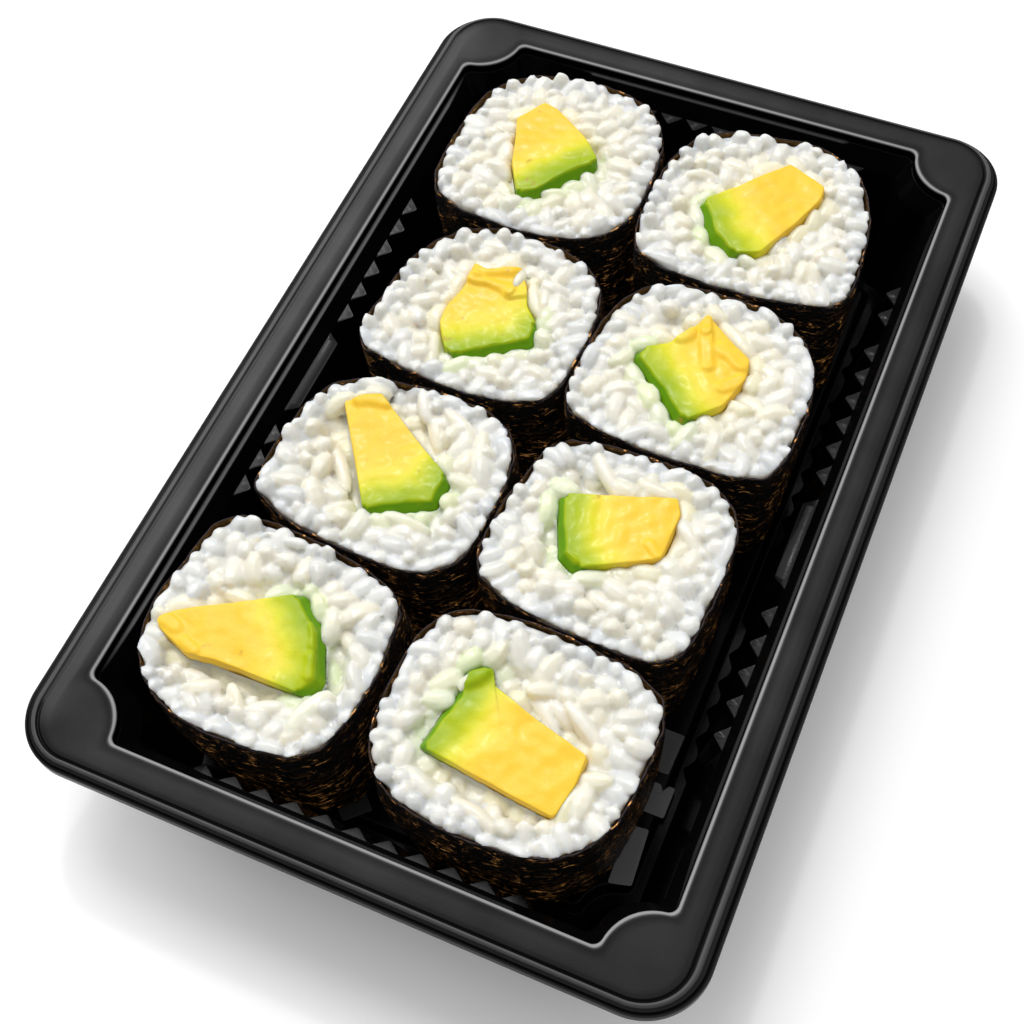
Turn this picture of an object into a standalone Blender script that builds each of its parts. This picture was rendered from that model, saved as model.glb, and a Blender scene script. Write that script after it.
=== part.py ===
"""A takeaway tray of eight cut sushi rolls, modelled at its real size.

The black formed tray has a stepped flange, a flat rim and a deep well. The well's corners are
scooped by the rim, its walls carry small upright ribs, and its floor is one raised panel inside
a narrow foot. Eight rolls stand on the panel in two columns of four. Each roll is a thin sheet of
nori round a block of rice, with a piece of avocado that runs from its top to its bottom.

Lengths are in millimetres here and are turned into metres when a mesh is made. X is the tray's
short side, Y its long side, and Z is up from the surface that the tray stands on.
"""
import math
import random
from collections import namedtuple

import bmesh
import bpy
from mathutils import Vector
from mathutils.geometry import delaunay_2d_cdt

MM = 0.001
SHARP_ANGLE = math.radians(35)
TRIANGULATION_GAP = 1e-6
KEEP_INSIDE = 2

# Tray: overall sizes
FLANGE_HALF = (54.0, 83.0)
FLANGE_STEP = 2.1
RIM_HEIGHT = 24.0
RIM_CORNER = 7.5
OPENING_HALF = (46.4, 75.8)
SCOOP_RADIUS = 8.0
SCOOP_FILLET = 1.5
SCOOP_TAPER = 0.25
CORNER_POINTS = 11
FILLET_POINTS = 3

# Tray: one section through its wall, as (outward from the base outline, depth below the rim)
SKIRT_FACE = ((2.1, 3.0), (2.1, 1.8), (1.95, 1.5), (1.55, 1.45), (0.9, 0.95), (0.2, 0.85),
              (0.0, 0.6), (-0.2, 0.15), (-0.7, 0.0))
WELL_FACE = ((0.7, 0.0), (0.2, 0.25), (-0.05, 0.9), (-0.15, 2.2), (-0.9, 2.4), (-1.05, 2.8),
             (-2.35, 5.0), (-6.0, 22.2), (-7.0, 23.4), (-8.6, 23.4), (-9.4, 22.0))
WELL_BACK = ((-10.0, 22.6), (-9.2, 24.0), (-6.9, 24.0), (-6.1, 23.6), (-5.4, 22.5), (-1.75, 5.2),
             (-0.45, 3.1), (0.45, 2.8), (0.55, 0.9), (0.9, 0.6))
SKIRT_BACK = ((-0.9, 0.6), (-0.5, 1.1), (-0.1, 1.4), (0.7, 1.5), (1.45, 2.1), (1.5, 3.0))

# Tray: wall ribs and the tabs of the floor panel
RIB_TOP_DEPTH = 4.6
RIB_FOOT_DEPTH = 23.6
RIB_TOP_INSET = 2.1
RIB_FOOT_INSET = 6.8
RIB_REACH_TOP = 1.9
RIB_REACH_FOOT = 1.5
RIB_HALF_WIDTH = 1.6
RIB_SINK = 0.45
PILASTER_SPAN = (-13.6, 5.6)
RIGHT_RIBS = (9.4, 14.6, 19.8, 25.0, 30.2, 35.4, 43.5, 48.4, -17.8, -23.1, -28.4, -33.7, -39.2)
LEFT_RIBS = (9.4, 14.6, 19.8, 25.0, 30.2, 35.4, -17.8, -23.1, -28.4)
FAR_RIBS_START = -21.9
NEAR_RIBS_START = -24.5
END_RIB_PITCH = 5.0
END_RIB_COUNT = 11
TAB_PLACES = (-46.0, 46.0)
TAB_HALF_LENGTH = 2.3
TAB_REACH = 38.7
TAB_ROOT = (37.3, 36.8)
TAB_TOP = 1.9

# Rolls: levels and the thin gaps between their layers
ROLL_TOP = 28.0
ROLL_FOOT = 2.3
NORI_OUTER_GROWTH = 0.2
NORI_THICKNESS = 0.45
LAYER_GAP = 0.3
ROLL_POINTS = 26
AVOCADO_ROUNDING = 0.9
AVOCADO_BEVEL = 0.5

# Rolls: how much they draw together from their tops down to the floor panel
DRAW_X = 0.95
DRAW_Y = 0.965
DRAW_SHIFT = (0.8, 0.6)

# Rice: grain sizes and heights
GRAIN_WIDTH = 3.2
GRAIN_HALF_RIDGE = 1.2
GRAIN_RISE = (0.9, 1.4)
EDGE_GRAIN_INSET = 1.7
GRAIN_CLEARANCE = 1.4
GRAIN_SPACING = 2.8
RICE_EDGE_DROP = 0.15
DART_TRIES = 1600

Roll = namedtuple("Roll", ("centre", "right", "left", "far", "near", "turn", "square",
                           "avocado", "lift", "hollows"))

# Reaches are from the centre to each side. How square each quarter is follows anticlockwise from
# far right. A hollow is x, y, radius and depth.
ROLLS = (
    Roll((-19.3, 46.5), 17.15, 19.7, 21.8, 14.9, 0.02, (2.8, 2.9, 4.1, 2.55),
         ((-26.6, 60.0), (-12.2, 50.2), (-19.6, 39.2), (-22.4, 37.4), (-29.7, 54.5)), 1.1, ()),
    Roll((20.75, 43.0), 16.25, 21.7, 24.8, 10.6, 0.05, (2.5, 3.4, 3.9, 4.5),
         ((19.5, 61.4), (26.9, 57.8), (24.7, 48.9), (20.9, 40.4), (15.9, 38.6), (7.3, 47.4)), 1.2, ()),
    Roll((-18.8, 7.3), 18.6, 16.7, 23.2, 10.0, -0.07, (3.6, 2.7, 5.6, 3.0),
         ((-23.8, 21.8), (-15.5, 23.6), (-7.6, 12.9), (-7.8, 9.9), (-19.4, 2.4), (-24.1, 9.5)), 0.9, ()),
    Roll((19.8, 10.7), 18.0, 18.9, 20.1, 13.2, -0.03, (2.6, 3.2, 5.0, 5.2),
         ((17.2, 25.0), (26.8, 19.0), (27.2, 15.2), (20.1, 3.8), (8.5, 13.8)), 1.1, ()),
    Roll((-14.9, -24.4), 13.6, 23.2, 19.7, 11.7, -0.05, (3.2, 3.5, 5.2, 2.9),
         ((-31.5, -11.9), (-26.8, -8.4), (-9.2, -18.6), (-11.2, -24.3), (-19.2, -29.8)), 0.9,
         ((-27.0, -21.5, 4.5, 2.6), (-19.0, -11.0, 4.5, 1.6))),
    Roll((19.4, -22.0), 16.0, 19.5, 18.3, 14.2, -0.05, (3.4, 3.8, 4.3, 5.6),
         ((7.3, -15.0), (24.9, -9.2), (26.3, -20.2), (14.2, -26.6), (11.0, -25.2)), 1.0,
         ((11.0, -11.5, 3.6, 2.2),)),
    Roll((-24.2, -53.7), 18.5, 17.9, 16.9, 16.6, -0.08, (3.6, 5.4, 2.35, 3.6),
         ((-39.2, -57.6), (-21.3, -45.2), (-15.7, -50.0), (-12.2, -57.5), (-13.7, -60.2),
          (-33.2, -60.9)), 1.2,
         ((-26.0, -63.0, 5.0, 2.4), (-33.0, -50.5, 3.6, 1.4))),
    Roll((15.6, -52.3), 20.0, 18.7, 15.3, 18.2, -0.04, (4.4, 3.4, 3.0, 2.8),
         ((5.5, -60.2), (7.6, -47.6), (26.6, -53.5), (26.6, -63.2)), 1.0,
         ((19.0, -48.0, 4.5, 2.2), (16.0, -64.8, 4.0, 1.6))),
)

MATERIALS = {
    "tray": ((0.014, 0.014, 0.015), 0.32),
    "nori": ((0.018, 0.014, 0.008), 0.38),
    "rice": ((0.83, 0.83, 0.80), 0.35),
    "avocado": ((0.72, 0.62, 0.12), 0.42),
}


def clear_scene():
    for item in list(bpy.data.objects):
        bpy.data.objects.remove(item, do_unlink=True)


def make_material(name):
    colour, roughness = MATERIALS[name]
    material = bpy.data.materials.new(name)
    material.use_nodes = True
    shader = material.node_tree.nodes["Principled BSDF"]
    shader.inputs["Base Color"].default_value = (*colour, 1.0)
    shader.inputs["Roughness"].default_value = roughness
    shader.inputs["Metallic"].default_value = 0.0
    return material


def object_from(bm, name, material=None, collection=None):
    """Close a bmesh in millimetres into a named object in metres."""
    bmesh.ops.recalc_face_normals(bm, faces=bm.faces)
    bmesh.ops.scale(bm, vec=(MM, MM, MM), verts=bm.verts)
    mesh = bpy.data.meshes.new(name)
    bm.to_mesh(mesh)
    bm.free()
    mesh.shade_smooth()
    mesh.set_sharp_from_angle(angle=SHARP_ANGLE)
    if material:
        mesh.materials.append(material)
    item = bpy.data.objects.new(name, mesh)
    (collection or bpy.context.scene.collection).objects.link(item)
    return item


def add_ring(bm, points, z):
    return [bm.verts.new((x, y, z)) for x, y in points]


def skin(bm, rings, closed=False):
    """Join rings of equal length by quads, and cap the ends unless the last meets the first."""
    pairs = list(zip(rings, rings[1:]))
    if closed:
        pairs.append((rings[-1], rings[0]))
    for low, high in pairs:
        for i in range(len(low)):
            j = (i + 1) % len(low)
            bm.faces.new((low[i], low[j], high[j], high[i]))
    if not closed:
        bm.faces.new(rings[0])
        bm.faces.new(rings[-1])


def arc(centre, radius, start, end, count):
    """Points on an arc, angles in degrees."""
    steps = [math.radians(start + (end - start) * i / (count - 1)) for i in range(count)]
    return [(centre[0] + radius * math.cos(a), centre[1] + radius * math.sin(a)) for a in steps]


def four_corners(quarter):
    """Repeat the first quadrant's corner round the outline, anticlockwise."""
    outline = list(quarter)
    outline += [(-x, y) for x, y in reversed(quarter)]
    outline += [(-x, -y) for x, y in quarter]
    outline += [(x, -y) for x, y in reversed(quarter)]
    return outline


def rounded_outline(half, radius):
    centre = (half[0] - radius, half[1] - radius)
    return four_corners(arc(centre, radius, 0, 90, CORNER_POINTS))


def scooped_outline(half, radius):
    """A rectangle whose corners are taken out by an arc, with a small fillet at its two ends."""
    reach = radius + SCOOP_FILLET
    run = math.sqrt(reach ** 2 - SCOOP_FILLET ** 2)
    tilt = math.degrees(math.asin(SCOOP_FILLET / reach))
    side = arc((half[0] - SCOOP_FILLET, half[1] - run), SCOOP_FILLET, 0, 90 - tilt, FILLET_POINTS)
    scoop = arc(half, radius, 270 - tilt, 180 + tilt, CORNER_POINTS - 2 * FILLET_POINTS + 2)
    end = arc((half[0] - run, half[1] - SCOOP_FILLET), SCOOP_FILLET, tilt, 90, FILLET_POINTS)
    return four_corners(side + scoop[1:-1] + end)


def tray_rings(bm):
    """Rings from under the floor out to the skirt's lower edge, over the rim and down the well."""
    rim_half = (FLANGE_HALF[0] - FLANGE_STEP, FLANGE_HALF[1] - FLANGE_STEP)

    def flange(out, depth):
        half = (rim_half[0] + out, rim_half[1] + out)
        return add_ring(bm, rounded_outline(half, RIM_CORNER + out), RIM_HEIGHT - depth)

    def well(out, depth):
        half = (OPENING_HALF[0] + out, OPENING_HALF[1] + out)
        outline = scooped_outline(half, SCOOP_RADIUS + SCOOP_TAPER * out)
        return add_ring(bm, outline, RIM_HEIGHT - depth)

    back = [well(*point) for point in WELL_BACK] + [flange(*point) for point in SKIRT_BACK]
    front = [flange(*point) for point in SKIRT_FACE] + [well(*point) for point in WELL_FACE]
    return back + front


def wall_boss(side, span_top, span_foot, collection):
    """A boss on a wall, from its flat top to the floor. side turns +X into the wall's direction.

    Each span is a list of places along the wall; the outer two are sunk into the wall and those
    between stand clear of it.
    """
    axis, sign = side
    bm = bmesh.new()
    rings = []
    for span, depth, inset, reach in ((span_top, RIB_TOP_DEPTH, RIB_TOP_INSET, RIB_REACH_TOP),
                                      (span_foot, RIB_FOOT_DEPTH, RIB_FOOT_INSET, RIB_REACH_FOOT)):
        base = OPENING_HALF[axis] - inset + RIB_SINK
        ring = []
        for i, along in enumerate(span):
            out = base if i in (0, len(span) - 1) else base - RIB_SINK - reach
            place = [along, along]
            place[axis] = sign * out
            ring.append(tuple(place))
        rings.append(add_ring(bm, ring, RIM_HEIGHT - depth))
    skin(bm, rings)
    return object_from(bm, "boss", collection=collection)


def add_bosses(collection):
    half = RIB_HALF_WIDTH + RIB_SINK
    for sign, places in ((1, RIGHT_RIBS), (-1, LEFT_RIBS)):
        for y in places:
            span = (y - half, y, y + half)
            wall_boss((0, sign), span, span, collection)
        low, high = PILASTER_SPAN
        span = (low - RIB_SINK, low + RIB_HALF_WIDTH, high - RIB_HALF_WIDTH, high + RIB_SINK)
        wall_boss((0, sign), span, span, collection)
    for sign, start in ((1, FAR_RIBS_START), (-1, NEAR_RIBS_START)):
        for i in range(END_RIB_COUNT):
            x = start + i * END_RIB_PITCH
            span = (x - half, x, x + half)
            wall_boss((1, sign), span, span, collection)


def add_tabs(collection):
    """Short tabs that widen the raised floor panel beside the corner rolls."""
    for sign in (1, -1):
        for y in TAB_PLACES:
            bm = bmesh.new()
            rings = []
            for root, z in zip(TAB_ROOT, (RIB_SINK, TAB_TOP)):
                ends = (y - TAB_HALF_LENGTH, y + TAB_HALF_LENGTH)
                rings.append(add_ring(bm, [(sign * root, ends[0]), (sign * TAB_REACH, ends[0]),
                                           (sign * TAB_REACH, ends[1]), (sign * root, ends[1])], z))
            skin(bm, rings)
            object_from(bm, "tab", collection=collection)


def apply_union(item, collection):
    """Fuse a collection's closed shapes to an object, then remove them."""
    union = item.modifiers.new("fused", "BOOLEAN")
    union.operation = "UNION"
    union.operand_type = "COLLECTION"
    union.collection = collection
    union.solver = "EXACT"
    graph = bpy.context.evaluated_depsgraph_get()
    fused = bpy.data.meshes.new_from_object(item.evaluated_get(graph))
    item.modifiers.clear()
    item.data = fused
    for part in list(collection.objects):
        bpy.data.objects.remove(part, do_unlink=True)
    bpy.data.collections.remove(collection)


def make_tray(material):
    bm = bmesh.new()
    skin(bm, tray_rings(bm))
    tray = object_from(bm, "tray", material)
    bosses = bpy.data.collections.new("bosses")
    bpy.context.scene.collection.children.link(bosses)
    add_bosses(bosses)
    add_tabs(bosses)
    apply_union(tray, bosses)
    return tray


def drawn_in(x, y, z):
    """Move a point of a roll's top outline towards the tray's middle, in step with its depth."""
    share = (ROLL_TOP - z) / (ROLL_TOP - ROLL_FOOT)
    return (x + share * ((DRAW_X - 1) * x + DRAW_SHIFT[0]),
            y + share * ((DRAW_Y - 1) * y + DRAW_SHIFT[1]), z)


def roll_outline(roll, growth):
    """A rounded square of four unlike quarters: |x / a| ** n + |y / b| ** n = 1, then turned."""
    points = []
    for i in range(ROLL_POINTS):
        angle = 2 * math.pi * (i + 0.5) / ROLL_POINTS
        c, s = math.cos(angle), math.sin(angle)
        a = (roll.right if c > 0 else roll.left) + growth
        b = (roll.far if s > 0 else roll.near) + growth
        n = roll.square[4 * i // ROLL_POINTS]
        reach = (abs(c / a) ** n + abs(s / b) ** n) ** (-1 / n)
        x, y = reach * c, reach * s
        points.append((roll.centre[0] + x * math.cos(roll.turn) - y * math.sin(roll.turn),
                       roll.centre[1] + x * math.sin(roll.turn) + y * math.cos(roll.turn)))
    return points


def rounded_corners(corners, growth):
    """The outline moved out by a growth, each corner turned by an arc about one fixed centre."""
    points = []
    count = len(corners)
    middle = Vector((sum(x for x, y in corners), sum(y for x, y in corners))) / count
    for i in range(count):
        before, here, after = (Vector(corners[(i + k) % count]) for k in (-1, 0, 1))
        normals = []
        for start, end in ((before, here), (here, after)):
            along = (end - start).normalized()
            normal = Vector((along.y, -along.x))
            if normal.dot(start - middle) < 0:
                normal.negate()
            normals.append(normal)
        halfway = (normals[0] + normals[1]).normalized()
        centre = here - halfway * (AVOCADO_ROUNDING / halfway.dot(normals[0]))
        for normal in (normals[0], halfway, normals[1]):
            points.append(tuple(centre + normal * (AVOCADO_ROUNDING + growth)))
    return points


def make_nori(roll, name, material):
    """A thin open-ended sleeve of nori round one roll."""
    bm = bmesh.new()
    outer = roll_outline(roll, NORI_OUTER_GROWTH)
    inner = roll_outline(roll, NORI_OUTER_GROWTH - NORI_THICKNESS)
    rings = []
    for outline, z in ((outer, ROLL_FOOT), (outer, ROLL_TOP), (inner, ROLL_TOP), (inner, ROLL_FOOT)):
        rings.append([bm.verts.new(drawn_in(x, y, z)) for x, y in outline])
    skin(bm, rings, closed=True)
    return object_from(bm, name, material)


def make_avocado(roll, name, material):
    """An upright piece of avocado with softened top edges, standing a little above the rice."""
    bm = bmesh.new()
    top = ROLL_TOP + roll.lift
    rings = []
    for growth, z in ((0.0, ROLL_FOOT), (0.0, top - AVOCADO_BEVEL), (-AVOCADO_BEVEL, top)):
        outline = rounded_corners(roll.avocado, growth)
        rings.append([bm.verts.new(drawn_in(x, y, z)) for x, y in outline])
    skin(bm, rings)
    return object_from(bm, name, material)


def inside(point, outline):
    """Whether a point lies in a closed outline, by counting the sides to its right."""
    x, y = point
    within = False
    for (x1, y1), (x2, y2) in zip(outline, outline[1:] + outline[:1]):
        if (y1 > y) != (y2 > y) and x < x1 + (y - y1) * (x2 - x1) / (y2 - y1):
            within = not within
    return within


def distance_to(point, outline):
    spot = Vector(point)
    nearest = float("inf")
    for start, end in zip(outline, outline[1:] + outline[:1]):
        start, end = Vector(start), Vector(end)
        along = end - start
        share = max(0.0, min(1.0, (spot - start).dot(along) / along.length_squared))
        nearest = min(nearest, (start + share * along - spot).length)
    return nearest


def edge_grains(roll, hole):
    """Grains that stand on end just inside the nori, a grain's width apart."""
    lane = roll_outline(roll, -NORI_THICKNESS - EDGE_GRAIN_INSET)
    lane.append(lane[0])
    grains = []
    left_over = 0.0
    for start, end in zip(lane, lane[1:]):
        start, end = Vector(start), Vector(end)
        length = (end - start).length
        while left_over < length:
            spot = start.lerp(end, left_over / length)
            if distance_to(spot, hole) > GRAIN_CLEARANCE:
                grains.append([tuple(spot)])
            left_over += GRAIN_WIDTH
        left_over -= length
    return grains


def middle_grains(roll, hole, grains, rng):
    """Grains dropped at random between the edge grains and the avocado, lying, then standing."""
    field = roll_outline(roll, -NORI_THICKNESS - EDGE_GRAIN_INSET - GRAIN_WIDTH / 2)
    taken = [grain[0] for grain in grains]
    middle = []
    for attempt in range(DART_TRIES):
        x = roll.centre[0] + rng.uniform(-roll.left, roll.right)
        y = roll.centre[1] + rng.uniform(-roll.near, roll.far)
        heading = rng.uniform(0, math.pi)
        step = (GRAIN_HALF_RIDGE * math.cos(heading), GRAIN_HALF_RIDGE * math.sin(heading))
        grain = [(x - step[0], y - step[1]), (x + step[0], y + step[1])]
        if attempt > DART_TRIES / 2:
            grain = [(x, y)]
        free = all(inside(end, field) and not inside(end, hole)
                   and distance_to(end, hole) > GRAIN_CLEARANCE
                   and all(math.dist(end, other) > GRAIN_SPACING for other in taken)
                   for end in grain)
        if free:
            taken += grain
            middle.append(grain)
    return middle


def sunken(roll, x, y):
    """How far the rice has sunk at a place, in the hollows beside the avocado."""
    depth = 0.0
    for hx, hy, radius, fall in roll.hollows:
        near = max(0.0, 1 - math.dist((x, y), (hx, hy)) / radius)
        depth = max(depth, fall * near * near * (3 - 2 * near))
    return depth


def triangulate(points, outline_count, hole_count):
    """Triangles over the ring between an outline and a hole, through every point inside it."""
    outline = list(range(outline_count))
    hole = list(range(outline_count, outline_count + hole_count))
    edges = list(zip(outline, outline[1:] + outline[:1])) + list(zip(hole, hole[1:] + hole[:1]))
    result = delaunay_2d_cdt([Vector(p) for p in points], edges, [], KEEP_INSIDE, TRIANGULATION_GAP)
    faces = []
    hole_points = [points[i] for i in hole]
    for face in result[2]:
        middle = [sum(points[i][k] for i in face) / 3 for k in (0, 1)]
        if len(face) == 3 and not inside(middle, hole_points):
            faces.append(face)
    return faces


def make_rice(roll, name, material, seed):
    """A block of rice with a bumpy top of grain-sized ridges, open down the middle."""
    rng = random.Random(seed)
    outline = roll_outline(roll, NORI_OUTER_GROWTH - NORI_THICKNESS - LAYER_GAP)
    hole = rounded_corners(roll.avocado, LAYER_GAP)
    grains = edge_grains(roll, hole)
    grains += middle_grains(roll, hole, grains, rng)
    border = outline + hole
    peaks = [end for grain in grains for end in grain]
    owner = [i for i, grain in enumerate(grains) for _ in grain]
    valleys = []
    for face in triangulate(border + peaks, len(outline), len(hole)):
        owners = {owner[i - len(border)] for i in face if i >= len(border)}
        if len(owners) == 3:
            corners = [peaks[i - len(border)] for i in face]
            valleys.append(tuple(sum(c[k] for c in corners) / 3 for k in (0, 1)))
    points = border + peaks + valleys
    bm = bmesh.new()
    top = []
    for i, (x, y) in enumerate(points):
        z = ROLL_TOP - RICE_EDGE_DROP
        if i >= len(border):
            z -= sunken(roll, x, y)
        if len(border) <= i < len(border) + len(peaks):
            z += rng.uniform(*GRAIN_RISE)
        top.append(bm.verts.new(drawn_in(x, y, z)))
    foot = [bm.verts.new(drawn_in(x, y, ROLL_FOOT)) for x, y in border]
    for face in triangulate(points, len(outline), len(hole)):
        bm.faces.new([top[i] for i in face])
    for face in triangulate(border, len(outline), len(hole)):
        bm.faces.new([foot[i] for i in face])
    for first, count in ((0, len(outline)), (len(outline), len(hole))):
        for i in range(count):
            j = (i + 1) % count
            a, b = first + i, first + j
            bm.faces.new((foot[a], foot[b], top[b], top[a]))
    return object_from(bm, name, material)


def main():
    clear_scene()
    materials = {name: make_material(name) for name in MATERIALS}
    make_tray(materials["tray"])
    for number, roll in enumerate(ROLLS, start=1):
        make_nori(roll, f"roll_{number}_nori", materials["nori"])
        make_rice(roll, f"roll_{number}_rice", materials["rice"], seed=number)
        make_avocado(roll, f"roll_{number}_avocado", materials["avocado"])


main()
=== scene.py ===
"""Looks of the takeaway sushi tray: black formed plastic, nori, cooked rice and ripe avocado.

Lengths are in millimetres here, as measured on the real tray, and become metres in make_piece().
X is the tray's short side, Y its long side, Z is up from the floor.
"""
import math

import bmesh
import bpy
import numpy as np
from mathutils import Euler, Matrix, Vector


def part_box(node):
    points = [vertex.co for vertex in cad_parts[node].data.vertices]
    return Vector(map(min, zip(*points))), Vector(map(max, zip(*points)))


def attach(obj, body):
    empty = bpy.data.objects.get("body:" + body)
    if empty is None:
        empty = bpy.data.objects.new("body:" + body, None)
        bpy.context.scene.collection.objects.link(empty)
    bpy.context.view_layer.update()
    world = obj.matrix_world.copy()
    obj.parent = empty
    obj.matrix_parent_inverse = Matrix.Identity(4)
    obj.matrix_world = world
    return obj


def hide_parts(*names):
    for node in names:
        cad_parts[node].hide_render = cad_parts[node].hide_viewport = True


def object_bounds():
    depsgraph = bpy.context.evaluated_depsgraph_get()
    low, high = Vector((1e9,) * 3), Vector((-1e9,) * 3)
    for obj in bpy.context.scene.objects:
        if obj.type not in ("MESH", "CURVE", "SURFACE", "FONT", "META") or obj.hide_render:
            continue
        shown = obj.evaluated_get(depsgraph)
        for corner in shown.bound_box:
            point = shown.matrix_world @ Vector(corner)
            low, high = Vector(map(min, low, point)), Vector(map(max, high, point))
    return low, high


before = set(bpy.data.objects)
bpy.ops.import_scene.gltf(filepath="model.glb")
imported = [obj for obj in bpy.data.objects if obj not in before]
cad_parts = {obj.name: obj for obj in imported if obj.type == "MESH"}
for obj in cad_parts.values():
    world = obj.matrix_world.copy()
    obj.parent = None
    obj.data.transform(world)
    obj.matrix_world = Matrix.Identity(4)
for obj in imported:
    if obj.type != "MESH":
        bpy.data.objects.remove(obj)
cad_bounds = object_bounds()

MM = 0.001
RIM = 24.0
ROLL_TOP = 28.0
ROLL_FOOT = 2.3
ROLL_COUNT = 8


# Arrays, meshes and outlines

def quads(rows, columns, close_rows=False):
    """Quads over a grid of closed rows, the last row joined to the first one where asked."""
    r = np.arange(rows if close_rows else rows - 1)
    r, c = np.meshgrid(r, np.arange(columns), indexing="ij")
    up, on = (r + 1) % rows, (c + 1) % columns
    corners = [r * columns + c, r * columns + on, up * columns + on, up * columns + c]
    return np.stack(corners, -1).reshape(-1, 4)


def make_piece(name, points, faces, material, replaces, merge=0.0, values=None, uv=None):
    """A mesh from arrays of points in millimetres and of quads, in the place of a CAD node.
    Values become point attributes, and points closer than merge become one."""
    mesh = bpy.data.meshes.new(name)
    points = np.asarray(points, float).reshape(-1, 3) * MM
    faces = np.asarray(faces, np.int32)
    mesh.vertices.add(len(points))
    mesh.vertices.foreach_set("co", points.ravel())
    mesh.loops.add(faces.size)
    mesh.loops.foreach_set("vertex_index", faces.ravel())
    mesh.polygons.add(len(faces))
    mesh.polygons.foreach_set("loop_start", np.arange(len(faces), dtype=np.int32) * faces.shape[1])
    mesh.update(calc_edges=True)
    for key, value in (values or {}).items():
        value = np.asarray(value, float)
        if value.ndim == 1:
            mesh.attributes.new(key, "FLOAT", "POINT").data.foreach_set("value", value)
        else:
            colour = np.concatenate([value, np.ones((len(value), 1))], 1)
            mesh.attributes.new(key, "FLOAT_COLOR", "POINT").data.foreach_set("color", colour.ravel())
    if uv is not None:
        layer = mesh.uv_layers.new(name="sheet")
        layer.data.foreach_set("uv", np.asarray(uv, float)[faces.ravel()].ravel())
    if merge:
        bm = bmesh.new()
        bm.from_mesh(mesh)
        bmesh.ops.remove_doubles(bm, verts=bm.verts, dist=merge * MM)
        bmesh.ops.dissolve_degenerate(bm, dist=merge * MM, edges=bm.edges)
        bmesh.ops.recalc_face_normals(bm, faces=bm.faces)
        bm.to_mesh(mesh)
        bm.free()
    mesh.shade_smooth()
    mesh.materials.append(material)
    piece = bpy.data.objects.new(name, mesh)
    bpy.context.scene.collection.objects.link(piece)
    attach(piece, "root")
    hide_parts(replaces)
    return piece


FINE_STEPS = 2048


def even_loop(points, count, start=None):
    """A closed outline resampled at equal steps of its length, from the point nearest to start."""
    loop = np.vstack([points, points[:1]])
    run = np.concatenate([[0], np.cumsum(np.linalg.norm(np.diff(loop, axis=0), axis=1))])
    fine = np.linspace(0, run[-1], FINE_STEPS, endpoint=False)
    dense = np.stack([np.interp(fine, run, loop[:, k]) for k in (0, 1)], 1)
    first = 0 if start is None else int(np.argmin(np.linalg.norm(dense - start, axis=1)))
    picks = (first + np.round(np.arange(count) * FINE_STEPS / count).astype(int)) % FINE_STEPS
    return dense[picks]


def smooth_loop(points, passes):
    """Average each point of a closed outline with its neighbours: p = (a + 2p + b) / 4."""
    for _ in range(passes):
        points = (np.roll(points, 1, 0) + 2 * points + np.roll(points, -1, 0)) / 4
    return points


def loop_normals(points):
    """Outward unit normals of an anticlockwise closed outline."""
    along = np.roll(points, -1, 0) - np.roll(points, 1, 0)
    out = np.stack([along[:, 1], -along[:, 0]], 1)
    return out / np.linalg.norm(out, axis=1, keepdims=True)


def outer_ring(node, level):
    """The outer outline of a CAD sleeve at a height, anticlockwise, in millimetres: of the points
    taken by their angle, those that lie further out than their neighbours do."""
    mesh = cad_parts[node].data
    co = np.zeros(len(mesh.vertices) * 3)
    mesh.vertices.foreach_get("co", co)
    co = np.unique(np.round(co.reshape(-1, 3) / MM, 3), axis=0)
    ring = co[np.abs(co[:, 2] - level) < 0.02][:, :2]
    middle = (ring.max(0) + ring.min(0)) / 2
    angle = np.arctan2(*(ring - middle).T[::-1])
    ring = ring[np.argsort(angle)]
    reach = np.linalg.norm(ring - middle, axis=1)
    return ring[reach > (np.roll(reach, 1) + np.roll(reach, -1)) / 2]


def wave_noise(u, v, seed, waves, low, high):
    """Smooth noise about 0: a sum of sines a sin(ku u + kv v + phase) with falling heights."""
    rng = np.random.default_rng(seed)
    total = np.zeros(np.broadcast(u, v).shape)
    for _ in range(waves):
        size = rng.uniform(low, high)
        heading = rng.uniform(0, 2 * math.pi)
        phase = rng.uniform(0, 2 * math.pi)
        total += np.sin(size * (math.cos(heading) * u + math.sin(heading) * v) + phase) / size
    return total * low / math.sqrt(waves)


def smoothstep(value, low, high):
    """0 below low, 1 above high, and t^2 (3 - 2t) between them."""
    t = np.clip((value - low) / (high - low), 0, 1)
    return t * t * (3 - 2 * t)


# Materials

def new_material(name, **inputs):
    """A Principled material with its constant values on the shader's own sockets. The painted glow of
    the nori and the floor's even glow are too faint to be sampled as a lamp."""
    material = bpy.data.materials.new(name)
    material.use_nodes = True
    material.cycles.emission_sampling = "NONE"
    shader = material.node_tree.nodes["Principled BSDF"]
    for key, value in inputs.items():
        shader.inputs[key.replace("_", " ")].default_value = value
    return material, material.node_tree, shader


def add_node(tree, kind, links=None, **settings):
    """Add a node; settings that name a socket set it, others set the node's own property."""
    node = tree.nodes.new("ShaderNode" + kind)
    for key, value in settings.items():
        if hasattr(node, key):
            setattr(node, key, value)
        else:
            node.inputs[key.replace("_", " ")].default_value = value
    for key, source in (links or {}).items():
        tree.links.new(source, node.inputs[key])
    return node


def colour_ramp(tree, factor, stops):
    """A ramp through colours, each stop a place from 0 to 1 and its colour."""
    ramp = add_node(tree, "ValToRGB", {"Fac": factor})
    while len(ramp.color_ramp.elements) < len(stops):
        ramp.color_ramp.elements.new(1.0)
    for element, (place, colour) in zip(ramp.color_ramp.elements, stops):
        element.position = place
        element.color = (*colour, 1.0)
    return ramp.outputs["Color"]


def grey(value):
    """A colour without hue."""
    return (value, value, value)


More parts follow.
